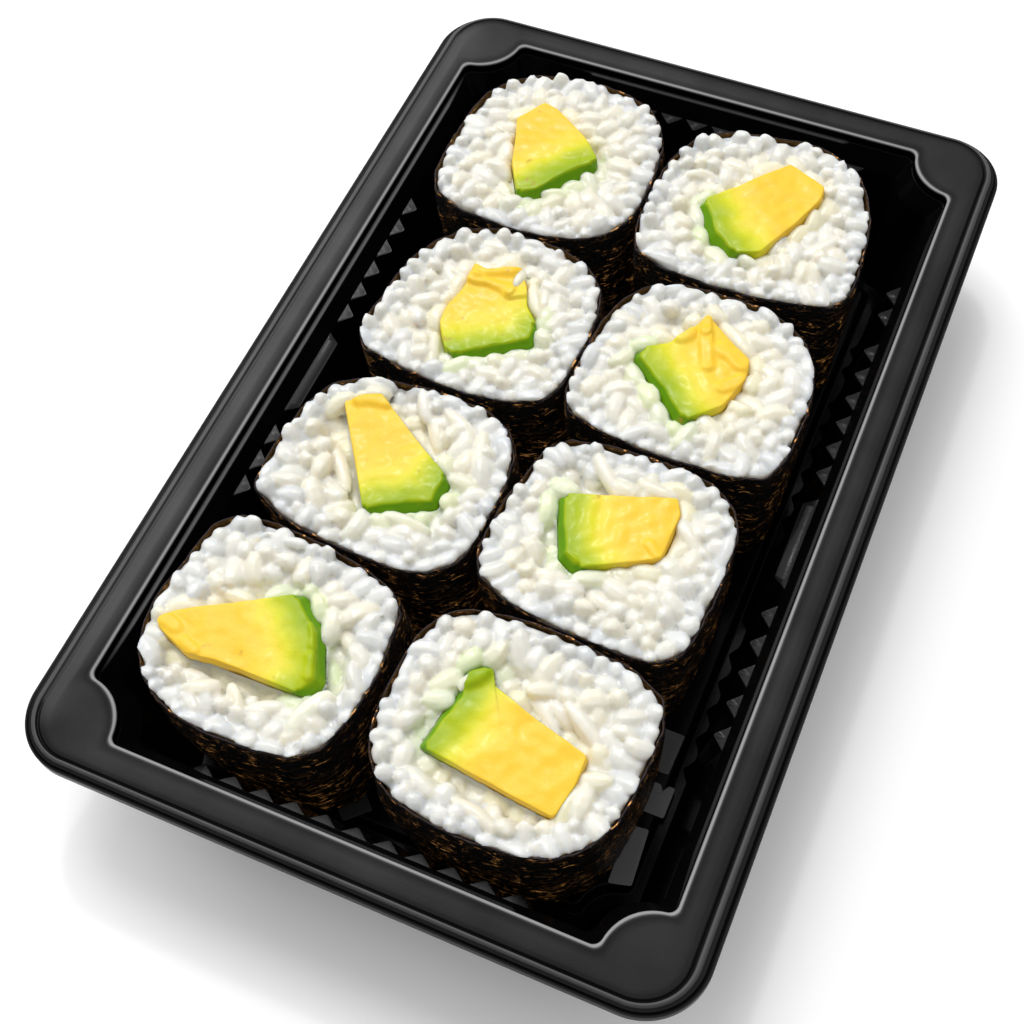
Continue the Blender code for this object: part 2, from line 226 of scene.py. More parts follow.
def noise(tree, where, scale, detail=3.0, roughness=0.5):
    """Cloudy noise with about scale blots to the metre."""
    node = add_node(tree, "TexNoise", {"Vector": where}, Scale=scale, Detail=detail,
                    Roughness=roughness)
    return node.outputs["Fac"]


def bump(tree, height, distance, strength=1.0, normal=None):
    """Relief finer than the mesh, over an earlier relief where one is given."""
    node = add_node(tree, "Bump", {"Height": height}, Distance=distance, Strength=strength)
    if normal is not None:
        tree.links.new(normal, node.inputs["Normal"])
    return node.outputs["Normal"]


def plastic_material():
    """Black formed sheet: satin pebbled rim, glossier walls, painted edge highlights and painted crease
    shade.
    """
    material, tree, shader = new_material("tray_plastic", IOR=1.45)
    where = add_node(tree, "TexCoord").outputs["Object"]
    # Painted light and shade per point: above 0 a painted highlight, below 0 painted crease shade
    edge = add_node(tree, "Attribute", attribute_name="painted_edge_light_and_shade").outputs["Fac"]
    split = add_node(tree, "SeparateXYZ", {"Vector": where})
    height = add_node(tree, "MapRange", {"Value": split.outputs["Z"]}, From_Min=0.0234,
                      From_Max=0.0239)
    sheen = add_node(tree, "MapRange", {"Value": height.outputs[0]}, To_Min=0.045, To_Max=0.21)
    # Painted crease shade: below 0 the specular reflection is turned down
    crease = add_node(tree, "MapRange", {"Value": edge}, From_Min=-1.0, From_Max=0.0)
    patches = noise(tree, where, 60.0, 4.0)
    level = add_node(tree, "Math", {0: sheen.outputs[0], 1: crease.outputs[0]}, operation="MULTIPLY")
    cloudy = add_node(tree, "MapRange", {"Value": patches}, From_Min=0.3, From_Max=0.7, To_Min=0.75,
                      To_Max=1.25)
    level = add_node(tree, "Math", {0: level.outputs[0], 1: cloudy.outputs[0]}, operation="MULTIPLY")
    tree.links.new(level.outputs[0], shader.inputs["Specular IOR Level"])
    wall_gloss = colour_ramp(tree, patches, [(0.3, grey(0.12)), (0.75, grey(0.2))])
    gloss = add_node(tree, "Mix", {0: height.outputs[0], "A": wall_gloss}, data_type="FLOAT", B=0.42)
    tree.links.new(gloss.outputs["Result"], shader.inputs["Roughness"])
    tone = colour_ramp(tree, patches, [(0.3, (0.0012, 0.0012, 0.0013)), (0.7, (0.0026, 0.0026, 0.0027))])
    # Painted highlight: the base colour goes pale grey where the value is above 0
    shown = add_node(tree, "Mix", {"Factor": edge, "A": tone}, data_type="RGBA",
                     B=(0.36, 0.36, 0.362, 1.0))
    tree.links.new(shown.outputs["Result"], shader.inputs["Base Color"])
    pebble = noise(tree, where, 2600.0, 2.0, 0.6)
    waviness = noise(tree, where, 35.0, 2.0)
    soft = bump(tree, waviness, 0.0003, 0.15)
    tree.links.new(bump(tree, pebble, 0.00003, 0.4, soft), shader.inputs["Normal"])
    return material


def nori_material():
    """Moist seaweed sheet: nearly black, with clusters of thin amber dashes that carry a painted glow."""
    material, tree, shader = new_material("nori_sheet", IOR=1.42, Specular_IOR_Level=0.2,
                                          Emission_Strength=1.0)
    along = add_node(tree, "UVMap", uv_map="sheet").outputs["UV"]
    own = add_node(tree, "Attribute", attribute_name="cut_tint").outputs["Color"]
    stretch = add_node(tree, "Mapping", {"Vector": along}).outputs["Vector"]
    stretch.node.inputs["Scale"].default_value = (0.5, 2.2, 1.0)
    dashes = add_node(tree, "TexNoise", {"Vector": stretch}, Scale=1.0, Detail=2.5, Roughness=0.55,
                      Distortion=1.2).outputs["Fac"]
    cloud = noise(tree, along, 0.3, 3.0)
    mask = colour_ramp(tree, dashes, [(0.585, grey(0)), (0.65, grey(1))])
    patch = colour_ramp(tree, cloud, [(0.49, grey(0.05)), (0.6, grey(1))])
    both = add_node(tree, "Mix", {"A": mask, "B": patch}, data_type="RGBA", blend_type="MULTIPLY")
    both.inputs["Factor"].default_value = 1.0
    fine = noise(tree, stretch, 3.2, 3.0, 0.6)
    dark = colour_ramp(tree, fine, [(0.45, (0.0008, 0.0006, 0.0005)), (0.8, (0.007, 0.0034, 0.0018))])
    amber = add_node(tree, "Mix", {"Factor": both.outputs["Result"], "A": dark}, data_type="RGBA",
                     B=(0.9, 0.44, 0.13, 1.0))
    tone = add_node(tree, "Mix", {"A": amber.outputs["Result"], "B": own}, data_type="RGBA",
                    blend_type="ADD")
    tone.inputs["Factor"].default_value = 1.0
    tree.links.new(tone.outputs["Result"], shader.inputs["Base Color"])
    # Painted glow: the amber dashes emit light, standing in for light shining through the thin sheet
    through = add_node(tree, "Mix", {"Factor": both.outputs["Result"]}, data_type="RGBA",
                       A=(0.0, 0.0, 0.0, 1.0), B=(0.16, 0.072, 0.02, 1.0))
    tree.links.new(through.outputs["Result"], shader.inputs["Emission Color"])
    gloss = colour_ramp(tree, fine, [(0.3, grey(0.16)), (0.8, grey(0.38))])
    tree.links.new(gloss, shader.inputs["Roughness"])
    coarse = bump(tree, dashes, 0.0009, 1.0)
    tree.links.new(bump(tree, fine, 0.0003, 0.9, coarse), shader.inputs["Normal"])
    return material


def rice_material(name, tint, roughness=0.3):
    """Cooked rice: light scatters in each grain; fine pits catch the lamp as points."""
    material, tree, shader = new_material(
        name, IOR=1.36, Subsurface_Weight=0.85, Subsurface_Scale=0.0024, Specular_IOR_Level=0.5,
        Subsurface_Radius=(1.0, 0.88, 0.66), Coat_Weight=0.5, Coat_Roughness=0.07, Coat_IOR=1.34,
        Roughness=roughness)
    where = add_node(tree, "TexCoord").outputs["Object"]
    own = add_node(tree, "Attribute", attribute_name="grain_tint").outputs["Color"]
    cloud = noise(tree, where, 420.0, 3.0)
    veil = colour_ramp(tree, cloud, [(0.3, tint), (0.7, grey(1.0))])
    tone = add_node(tree, "Mix", {"A": own, "B": veil}, data_type="RGBA", blend_type="MULTIPLY")
    tone.inputs["Factor"].default_value = 1.0
    tree.links.new(tone.outputs["Result"], shader.inputs["Base Color"])
    pits = noise(tree, where, 1500.0, 2.0, 0.7)
    tree.links.new(bump(tree, pits, 0.00006, 0.5), shader.inputs["Normal"])
    return material


def avocado_material():
    """Ripe flesh: butter yellow at the stone side, through lime to green under the skin, with painted
    shade as darker green on side faces.
    """
    material, tree, shader = new_material(
        "avocado_flesh", IOR=1.4, Subsurface_Weight=0.25, Subsurface_Scale=0.001,
        Specular_IOR_Level=0.22, Subsurface_Radius=(1.0, 0.8, 0.25), Coat_Weight=0.08,
        Coat_Roughness=0.15)
    where = add_node(tree, "TexCoord").outputs["Object"]
    own = add_node(tree, "Attribute", attribute_name="ripeness_and_side_shade").outputs["Fac"]
    cloud = noise(tree, where, 190.0, 3.0)
    shift = add_node(tree, "MapRange", {"Value": cloud}, From_Min=0.3, From_Max=0.7, To_Min=-0.06,
                     To_Max=0.06)
    place = add_node(tree, "Math", {0: own, 1: shift.outputs[0]}, operation="ADD")
    flesh = colour_ramp(tree, place.outputs[0], [
        (0.0, (0.88, 0.56, 0.04)), (0.25, (0.85, 0.65, 0.06)), (0.5, (0.67, 0.64, 0.018)),
        (0.7, (0.42, 0.50, 0.002)), (0.86, (0.27, 0.4, 0.001)), (0.98, (0.12, 0.29, 0.0))])
    spots = noise(tree, where, 330.0, 2.0, 0.6)
    few = colour_ramp(tree, spots, [(0.69, grey(0)), (0.76, grey(0.55))])
    tone = add_node(tree, "Mix", {"Factor": few, "A": flesh}, data_type="RGBA",
                    B=(0.42, 0.24, 0.04, 1.0))
    tree.links.new(tone.outputs["Result"], shader.inputs["Base Color"])
    fibre = noise(tree, where, 1500.0, 3.0, 0.6)
    gloss = colour_ramp(tree, fibre, [(0.3, grey(0.3)), (0.7, grey(0.5))])
    tree.links.new(gloss, shader.inputs["Roughness"])
    soft = bump(tree, cloud, 0.0005, 0.4)
    tree.links.new(bump(tree, fibre, 0.00007, 0.7, soft), shader.inputs["Normal"])
    return material


# Tray

# The rim's crease, half the tray each way, and how much narrower the skirt is at the short sides
TRAY_RIM_HALF = (51.2, 81.2)
SKIRT_SHARE = (1.0, 0.7)
TRAY_OPENING_HALF = (46.4, 76.2)
RIM_CORNER = 7.5
SCOOP = (8.0, 1.5, 0.25)
CORNER_STEPS = (7, 16, 7)
CORNER_START = 52.0
SIDE_RIBS = (9.4, 14.6, 19.8, 25.0, 30.2, 35.4, -17.8, -23.1, -28.4)
RIGHT_ONLY_RIBS = (43.5, 48.4, -33.7, -39.2)
FAR_RIBS = tuple(-21.9 + 5.0 * i for i in range(11))
NEAR_RIBS = tuple(-24.5 + 5.0 * i for i in range(11))
RIB_HALF = 1.95
RIB_REACH = (2.1, 1.3)
SIDE_SLIP = {1: -0.5, -1: 0.4}
PILASTER = (-12.6, 4.6)
# At the near side the wall stands steeper and its ribs are higher up and shorter
NEAR_RISE = (0.75, 2.4, 0.25)
SHEET = 0.5
CREASE = 34

# Skirt: outward from the rim's crease, depth below the rim, painted highlight above 0 and painted crease
# shade below 0
SKIRT = ((2.5, 3.0, 0.0), (2.5, 1.3, 0.07), (1.95, 1.2, 0.0), (1.7, 1.2, -0.8), (1.65, 0.8, 0.03),
         (1.05, 0.65, 0.04), (0.95, 0.2, 0.1), (0.6, 0.0, 0.17), (0.2, 0.02, 0.14), (-0.1, 0.3, -0.9),
         (-0.35, 0.3, -0.9), (-0.6, 0.12, 0.0), (-1.4, 0.03, 0.0), (-2.2, 0.0, 0.0))
# Further in on the skirt than this, the painted highlight and painted shade follow the side they are on
BEAD_INSIDE = 0.1
# Well: outward from the opening without and with the wall's ledge, depth, painted highlight above 0 and
# painted crease shade below 0
WELL_TOP = ((2.0, 2.0, 0.0, 0.0), (0.85, 0.85, 0.03, -0.5), (0.5, 0.5, 0.05, 0.2),
            (0.3, 0.3, 0.07, 0.75), (0.06, 0.06, 0.15, 0.6), (-0.02, -0.02, 0.4, 0.0),
            (-0.1, -0.2, 1.5, 0.0), (-0.2, -0.3, 1.7, 0.3), (-0.35, -0.8, 1.78, 0.4),
            (-0.45, -0.9, 2.0, 0.0), (-2.4, -2.4, 4.9, 0.0))
WELL_WALL = ((-2.4, 4.9), (-2.55, 5.5), (-6.0, 22.2), (-7.0, 23.4))
# Painted highlight on ledge and ribs, and painted shade in the creases, at the right, far, left and near
# side
LEDGE_PAINTED_LIGHT = (0.06, 0.35, 1.0, 0.08)
SIDE_PAINTED_LIGHT = (0.25, 0.3, 1.0, 0.03)
CREASE_PAINTED_SHADE = (1.0, 0.5, 0.0, 1.0)
# Painted sheen on the left rim, and painted light on rib facets, their feet and the ribs at the near side
LEFT_PAINTED_SHEEN = 0.08
RIB_PAINTED_LIGHT = 0.16
RIB_FOOT_PAINTED_LIGHT = 3.5
NEAR_RIB_PAINTED_LIGHT = 0.08
# Pads on the floor beside the rolls: corners, height of the top, and painted light on the top
PADS = (
    (((33.0, -49.0), (38.3, -49.0), (38.3, -43.7), (37.2, -43.7), (36.7, -45.0), (36.0, -43.9),
      (33.0, -43.7)), 2.2, 0.55),
    (((34.0, -61.6), (37.6, -60.7), (36.9, -51.4), (33.6, -51.8)), 2.2, 0.6),
    (((33.0, -42.1), (36.5, -42.1), (36.7, -34.9), (33.0, -34.9)), 2.2, 0.35),
    (((-11.2, -65.0), (-7.5, -68.4), (-3.9, -65.0), (-7.5, -61.6)), 2.2, 0.12),
)


def rounded(corners, radius, steps):
    """Round a polyline: at corner V the curve is (1-t)^2 A + 2t(1-t) V + t^2 B, where A and B lie
    a radius before and after V, or half a side if that is less."""
    corners = np.asarray(corners, float)
    rows = [corners[0]]
    t = np.linspace(0, 1, steps)[:, None]
    for before, here, after in zip(corners, corners[1:], corners[2:]):
        a, b = before - here, after - here
        a *= min(radius / np.linalg.norm(a), 0.5)
        b *= min(radius / np.linalg.norm(b), 0.5)
        rows += list((1 - t) ** 2 * (here + a) + 2 * t * (1 - t) * here + t ** 2 * (here + b))
    rows.append(corners[-1])
    return np.array(rows)


def turned(centre, radius, start, end, count):
    """Points of an arc about a centre, from a start to an end angle in degrees."""
    angle = np.radians(np.linspace(start, end, count))
    return np.stack([centre[0] + radius * np.cos(angle), centre[1] + radius * np.sin(angle)], 1)


def corner_arc(half, radius):
    """A round corner, with as many points as the scooped one has."""
    return turned((half[0] - radius, half[1] - radius), radius, 0, 90, sum(CORNER_STEPS) - 2)


def corner_scoop(half, out):
    """A concave arc cut from the opening's corner by the rim, with a fillet at both its ends."""
    radius = SCOOP[0] + SCOOP[2] * out
    fillet = SCOOP[1]
    reach = radius + fillet
    run = math.sqrt(reach ** 2 - fillet ** 2)
    tilt = math.degrees(math.asin(fillet / reach))
    first = turned((half[0] - fillet, half[1] - run), fillet, 0, 90 - tilt, CORNER_STEPS[0])
    middle = turned(half, radius, 270 - tilt, 180 + tilt, CORNER_STEPS[1])
    last = turned((half[0] - run, half[1] - fillet), fillet, tilt, 90, CORNER_STEPS[2])
    return np.vstack([first[:-1], middle, last[1:]])


def breakpoints(ribs, extra=()):
    """Where the columns stand along one side: close together at each rib's edges and crest."""
    spread = RIB_HALF * np.array([-1.12, -0.98, -0.85, -0.4, -0.12, 0, 0.12, 0.4, 0.85, 0.98, 1.12])
    stops = [c + spread for c in ribs] + [np.asarray(extra, float)]
    stops = np.unique(np.round(np.concatenate(stops), 3))
    return stops[np.concatenate([[True], np.diff(stops) > 0.12])]


def ridge(along, centre):
    """A rib's height over its width, a triangle with a slightly rounded crest and feet."""
    x = np.abs(along - centre) / RIB_HALF
    return np.clip(1.03 - np.sqrt(x * x + 0.012), 0, 1)


def make_tray(material):
    """A profile carried round the tray: each row of the grid is one closed outline."""
    groove_stops = [s * y for y in (41.4, 44.2, 48.4, 50.6) for s in (1, -1)]
    pilaster_stops = [PILASTER[0] + d for d in (-0.2, 0.1, 1.4, 1.7)] + \
                     [PILASTER[1] - d for d in (-0.2, 0.1, 1.4, 1.7)]
    edge = [s * (CORNER_START + d) for d in (0.0, 3.0, 6.0) for s in (1, -1)]
    long_stops = breakpoints(SIDE_RIBS + RIGHT_ONLY_RIBS, groove_stops + pilaster_stops + edge)
    far_stops = breakpoints(FAR_RIBS, (-30.0, 30.6, -26.0, 28.6))
    near_stops = breakpoints(NEAR_RIBS, (-30.0, 30.6, -27.0, 27.0))
    corner = sum(CORNER_STEPS) - 2
    sides = [(0, 1, long_stops + SIDE_SLIP[1]), (1, 1, far_stops[::-1]),
             (0, -1, long_stops[::-1] + SIDE_SLIP[-1]), (1, -1, near_stops)]

    # Per column: rib height, inward direction, ledge, rib share, near side, and its side's painted light,
    # painted ledge highlight and painted crease shade
    push, inward, ledge, ribbed, near, glow, lit, shade = ([] for _ in range(8))
    for side, (axis, sign, stops) in enumerate(sides):
        stops = stops - (SIDE_SLIP[sign] if axis == 0 else 0.0)
        height = np.zeros(len(stops))
        if axis == 0:
            ribs = SIDE_RIBS + (RIGHT_ONLY_RIBS if sign > 0 else ())
            low, high = PILASTER
            height = np.clip(np.minimum(stops - low, high - stops) / 1.5, 0, 1)
            shelf = smoothstep(64.0 - np.abs(stops), 0, 1.5)
        else:
            ribs = FAR_RIBS if sign > 0 else NEAR_RIBS
            shelf = smoothstep(25.5 - np.abs(stops - 1.0), 0, 1.2)
        plain = height
        for centre in ribs:
            height = np.maximum(height, ridge(stops, centre))
        ribbed.append(np.concatenate([np.where(height > plain, 1.0, 0.3 * (plain > 0)), np.zeros(corner)]))
        near.append(np.concatenate([np.full(len(stops), float(side == 3)), np.zeros(corner)]))
        for column, amounts in ((glow, SIDE_PAINTED_LIGHT), (lit, LEDGE_PAINTED_LIGHT), (shade, CREASE_PAINTED_SHADE)):
            turn = np.linspace(amounts[side], amounts[(side + 1) % 4], corner)
            column.append(np.concatenate([np.full(len(stops), amounts[side]), turn]))
        push.append(np.concatenate([height, np.zeros(corner)]))
        ledge.append(np.concatenate([shelf, np.zeros(corner)]))
        direction = np.zeros((len(stops) + corner, 2))
        direction[:len(stops), axis] = -sign
        inward.append(direction)
    push, ledge, inward, ribbed, near, glow, lit, shade = (
        np.concatenate(part) for part in (push, ledge, inward, ribbed, near, glow, lit, shade))
    near = near * smoothstep(np.convolve(np.pad(near, 8, "wrap"), np.ones(17) / 17, "valid"), 0.5, 1)

    def outline(half, quarter):
        """Fixed places along each side, then the corner, anticlockwise from the right side."""
        parts = []
        flips = (np.array([1, 1]), np.array([-1, 1]), np.array([-1, -1]), np.array([1, -1]))
        for i, (axis, sign, stops) in enumerate(sides):
            line = np.zeros((len(stops), 2))
            line[:, axis] = sign * half[axis]
            line[:, 1 - axis] = stops
            turn = quarter if i % 2 == 0 else quarter[::-1]
            parts += [line, turn * flips[i]]
        return np.vstack(parts)

    def flange(out, depth):
        half = np.array(TRAY_RIM_HALF) + np.array(SKIRT_SHARE) * out
        ring = outline(half, corner_arc(half, RIM_CORNER + out))
        return np.column_stack([ring, np.full(len(ring), RIM - depth)])

    def well(out, depth, share=0.0, shelf=0.0, squeeze=1.0):
        half = np.array(TRAY_OPENING_HALF) + out
        ring = outline(half, corner_scoop(half, out))
        ring += inward * (ledge * shelf)[:, None]
        out_by, up_by, short = NEAR_RISE
        climb = near * np.clip(min((depth - 2.4) / 2.5, (16.0 - depth) / 11.0), 0, 1)
        reach = np.interp(depth, (4.9, 23.4), RIB_REACH) * (1 - short * near)
        ring += inward * (push * share * reach - climb * out_by)[:, None]
        ring[:, 0] *= squeeze
        return np.column_stack([ring, RIM - depth + climb * up_by])

    def ledged(out, shelf_out, depth):
        return well(out, depth, shelf=out - shelf_out)

    rows, edges = [], []

    # Each row keeps its outline and the painted light and shade of its points
    def add(ring, edge=0.0):
        rows.append(ring)
        edges.append(np.broadcast_to(edge, len(ring)))

    # Along the skirt: painted highlight, painted crease shade, and painted sheen on the left rim
    for out, depth, pale in rounded(SKIRT, 0.12, 3):
        pale = pale * (shade if pale < 0 and out < BEAD_INSIDE else 1.0)
        add(flange(out, depth), pale + LEFT_PAINTED_SHEEN * smoothstep(glow, 0.5, 1.0) * (out < BEAD_INSIDE))
    # Along the well's top: painted highlight on edge and ledge, and painted crease shade
    for out, shelf_out, depth, pale in rounded(WELL_TOP, 0.12, 3)[:-1]:
        add(ledged(out, shelf_out, depth), pale * (lit * ledge if depth > 1.0 else 1.0))
    add(well(-2.38, 4.87))
    # Painted light on the rib facets, brightest on their edge and foot rows
    painted_facet_light = RIB_PAINTED_LIGHT * glow * ribbed
    add(well(-2.4, 4.9), painted_facet_light + NEAR_RIB_PAINTED_LIGHT * near * (push > 0.02))
    add(well(-2.4, 4.92, 0.9), painted_facet_light)
    add(well(-2.42, 5.0, 0.97), RIB_FOOT_PAINTED_LIGHT * painted_facet_light)
    wall = rounded(WELL_WALL, 1.6, 5)
    for out, depth in wall[wall[:, 1] > 5.1]:
        add(well(out, depth, 1.0))
    for out, depth in rounded(((-8.3, 23.4), (-8.8, 23.4), (-9.4, 22.0), (-12.0, 22.0)), 0.5, 5):
        add(well(out, depth))
    for squeeze in (0.8, 0.4, 0.1, 0.0):
        add(well(-12.0, 22.0, squeeze=squeeze))
    for squeeze in (0.0, 0.5, 0.9):
        add(well(-12.0, 22.0 + SHEET, squeeze=squeeze))
    for point in ((-10.0, 22.0 + SHEET), (-9.2, 24.0), (-6.9, 24.0), (-6.1, 23.5, 1.0),
                  (-5.5, 22.3, 1.0), (-2.0, 5.7, 1.0), (-1.9, 5.5, 0.9), (-1.85, 5.4),
                  (-0.3, 2.4), (0.35, 2.2), (0.45, 0.8), (0.9, SHEET), (1.6, SHEET)):
        add(well(*point))
    for point in rounded(((-1.8, SHEET), (-0.7, 0.7), (0.6, 0.8), (0.7, 1.2), (1.4, 1.3),
                          (1.5, 1.8), (2.1, 1.9), (2.15, 3.0)), 0.3, 3):
        add(flange(*point))
    faces = quads(len(rows), len(rows[0]), close_rows=True)
    tray = make_piece("tray_shell", np.stack(rows), faces, material, "tray", merge=0.002,
                      values={"painted_edge_light_and_shade": np.concatenate(edges)})
    tray.data.set_sharp_from_angle(angle=math.radians(CREASE))


def make_pads(material):
    """Low pads of the formed floor: each is its outline carried up, over a soft edge and in, with painted
    light on top.
    """
    points, faces, pale = [], [], []
    steps = 96
    for corners, top, glow in PADS:
        loop = smooth_loop(even_loop(np.array(corners), steps), 2)
        middle = loop.mean(0)
        # Each level: share of the outline, height, and share of the pad's painted light, highest at the
        # top edge as a painted highlight
        levels = ((0.0, 1.5, 0.0), (1.0, 1.5, 0.0), (1.0, top - 0.15, 0.2), (0.98, top - 0.03, 1.0),
                  (0.93, top, 0.85), (0.5, top, 0.8), (0.0, top, 0.8))
        faces.append(quads(len(levels), steps) + len(levels) * steps * len(faces))
        for share, z, shine in levels:
            points.append(np.column_stack([middle + (loop - middle) * share, np.full(steps, z)]))
            pale.append(np.full(steps, shine * glow))
    pads = make_piece("tray_floor_pads", np.vstack(points), np.vstack(faces), material,
                      "tray", merge=0.002, values={"painted_edge_light_and_shade": np.concatenate(pale)})
    pads.data.set_sharp_from_angle(angle=math.radians(CREASE))


# Rolls

# Every roll leans towards the tray's middle with depth: the share of x and y lost, and a shift
DRAW = np.array((-0.05, -0.035))
DRAW_SHIFT = np.array((0.8, 0.6))
NORI_SHEET = 0.3
NORI_EDGE = 27.6
# The front rolls' sleeves stand out at the near side, in millimetres
FULLER = {7: 1.4, 8: 1.6}
# How far the sleeve swells over its height, at least and at most, and how deep its wrinkles are
NORI_SWELL = (0.12, 0.3)
NORI_WRINKLE = 0.16
LOOP_STEPS = 300

AVOCADO_STEPS = 220
# Avocado: corners of the piece, and the corners between which its skin side runs
AVOCADO = {
    1: (((-26.5, 59.9), (-23.4, 59.0), (-16.1, 54.4), (-12.5, 50.7), (-12.1, 49.1), (-19.6, 39.1),
         (-22.3, 37.3), (-26.7, 44.8), (-27.5, 47.6), (-29.7, 54.5)), (4, 6)),
    2: (((19.5, 61.4), (26.7, 58.2), (26.9, 55.4), (24.7, 48.9), (20.9, 40.4), (15.9, 38.5),
         (11.8, 41.1), (7.3, 47.4), (13.0, 54.0)), (5, 7)),
    3: (((-23.4, 21.6), (-20.9, 21.0), (-15.5, 23.8), (-12.9, 20.2), (-11.4, 16.7), (-7.6, 12.9),
         (-7.6, 9.9), (-10.7, 7.3), (-18.1, 2.3), (-20.9, 3.6), (-23.9, 8.1), (-24.1, 11.8),
         (-23.0, 17.0)), (5, 8)),
    4: (((17.2, 25.4), (26.7, 19.2), (27.3, 15.2), (25.5, 9.2), (20.2, 3.8), (17.7, 5.5),
         (8.6, 13.4), (8.5, 14.8), (13.0, 17.9), (15.5, 21.9)), (4, 7)),
    5: (((-31.5, -11.9), (-26.8, -8.2), (-23.5, -10.2), (-9.2, -19.1), (-9.4, -24.3),
         (-12.6, -26.0), (-19.2, -29.8)), (3, 6)),
    6: (((7.2, -15.0), (24.9, -9.1), (26.3, -11.6), (26.2, -20.2), (14.2, -26.7), (11.5, -25.4),
         (9.1, -20.0)), (4, 7)),
    7: (((-40.0, -57.6), (-38.2, -55.3), (-21.3, -45.2), (-15.7, -50.0), (-12.0, -57.5),
         (-13.5, -60.3), (-28.7, -60.4), (-33.2, -61.0), (-38.9, -58.8)), (2, 5)),
    8: (((4.6, -60.8), (5.6, -54.6), (6.6, -51.2), (6.0, -49.4), (6.3, -46.9), (8.4, -45.3),
         (10.0, -45.9), (10.8, -48.0), (18.4, -50.5), (27.8, -53.2), (27.8, -58.0), (26.8, -63.4),
         (20.2, -62.8)), (0, 5)),
}
# Torn flakes on the avocado: from x, y to x, y, radius, height
FLAKES = {
    3: ((-21.6, 20.6, -17.0, 22.0, 1.6, 0.5), (-22.6, 18.6, -15.6, 18.2, 1.1, 0.6),
        (-15.0, 17.6, -11.4, 19.4, 0.9, 0.5)),
    4: ((17.4, 24.4, 17.9, 22.0, 0.9, 0.5), (18.3, 21.4, 20.4, 15.6, 1.3, 0.5),
        (21.6, 19.6, 25.6, 18.0, 1.7, 0.4), (14.6, 19.6, 15.6, 21.0, 1.3, 0.5),
        (24.2, 12.6, 26.2, 14.8, 1.3, 0.35)),
    5: ((-29.0, -10.6, -25.0, -9.6, 1.5, 0.6),),
    6: ((12.0, -25.0, 13.4, -25.6, 1.2, 0.3), (23.5, -18.5, 25.5, -19.5, 1.0, 0.3)),
    7: ((-38.4, -57.2, -36.6, -57.6, 1.3, 0.3), (-17.4, -49.6, -16.0, -52.6, 0.8, 0.35),
        (-15.6, -54.4, -14.4, -57.4, 0.8, 0.35), (-34.0, -59.4, -32.0, -60.0, 0.9, 0.25)),
    8: ((7.2, -48.6, 9.0, -46.8, 1.5, 0.6),),
}
# Hollows between the rice and the avocado: from x, y to x, y, radius, depth
HOLLOWS = {
    1: ((-13.2, 52.5, -11.8, 50.0, 1.3, 1.4), (-26.6, 42.6, -25.0, 39.4, 1.4, 1.2)),
    2: ((8.0, 45.0, 13.0, 39.6, 1.0, 0.7), (30.4, 51.4, 31.4, 49.0, 1.2, 1.4)),
    3: ((-20.8, 0.4, -17.4, 4.6, 1.0, 1.2), (-9.6, 8.0, -14.0, 4.8, 1.1, 0.8)),
    4: ((12.6, 24.6, 13.8, 20.2, 1.5, 1.7), (23.4, 5.4, 25.6, 7.6, 1.0, 0.8)),
    5: ((-31.4, -15.0, -22.6, -27.4, 2.7, 2.9), (-24.6, -6.8, -13.0, -14.4, 2.3, 2.0),
        (-8.0, -26.6, -10.4, -27.4, 1.3, 1.6)),
    6: ((8.4, -9.4, 14.6, -12.0, 2.3, 2.5), (8.4, -21.0, 9.8, -26.2, 1.4, 2.2),
        (16.4, -28.0, 19.6, -30.0, 1.3, 1.5)),
    7: ((-35.4, -62.0, -17.4, -62.2, 2.1, 2.9), (-13.4, -49.4, -11.0, -57.0, 1.5, 2.4),
        (-34.0, -51.6, -24.4, -45.6, 1.3, 1.2), (-31.4, -39.4, -29.6, -40.2, 1.2, 2.0)),
    8: ((11.2, -46.4, 24.6, -51.4, 2.5, 2.6), (7.4, -62.4, 24.0, -65.0, 1.8, 2.4),
        (4.4, -55.6, 4.8, -59.4, 1.3, 2.4), (19.0, -68.6, 20.2, -68.8, 0.9, 1.2)),
}
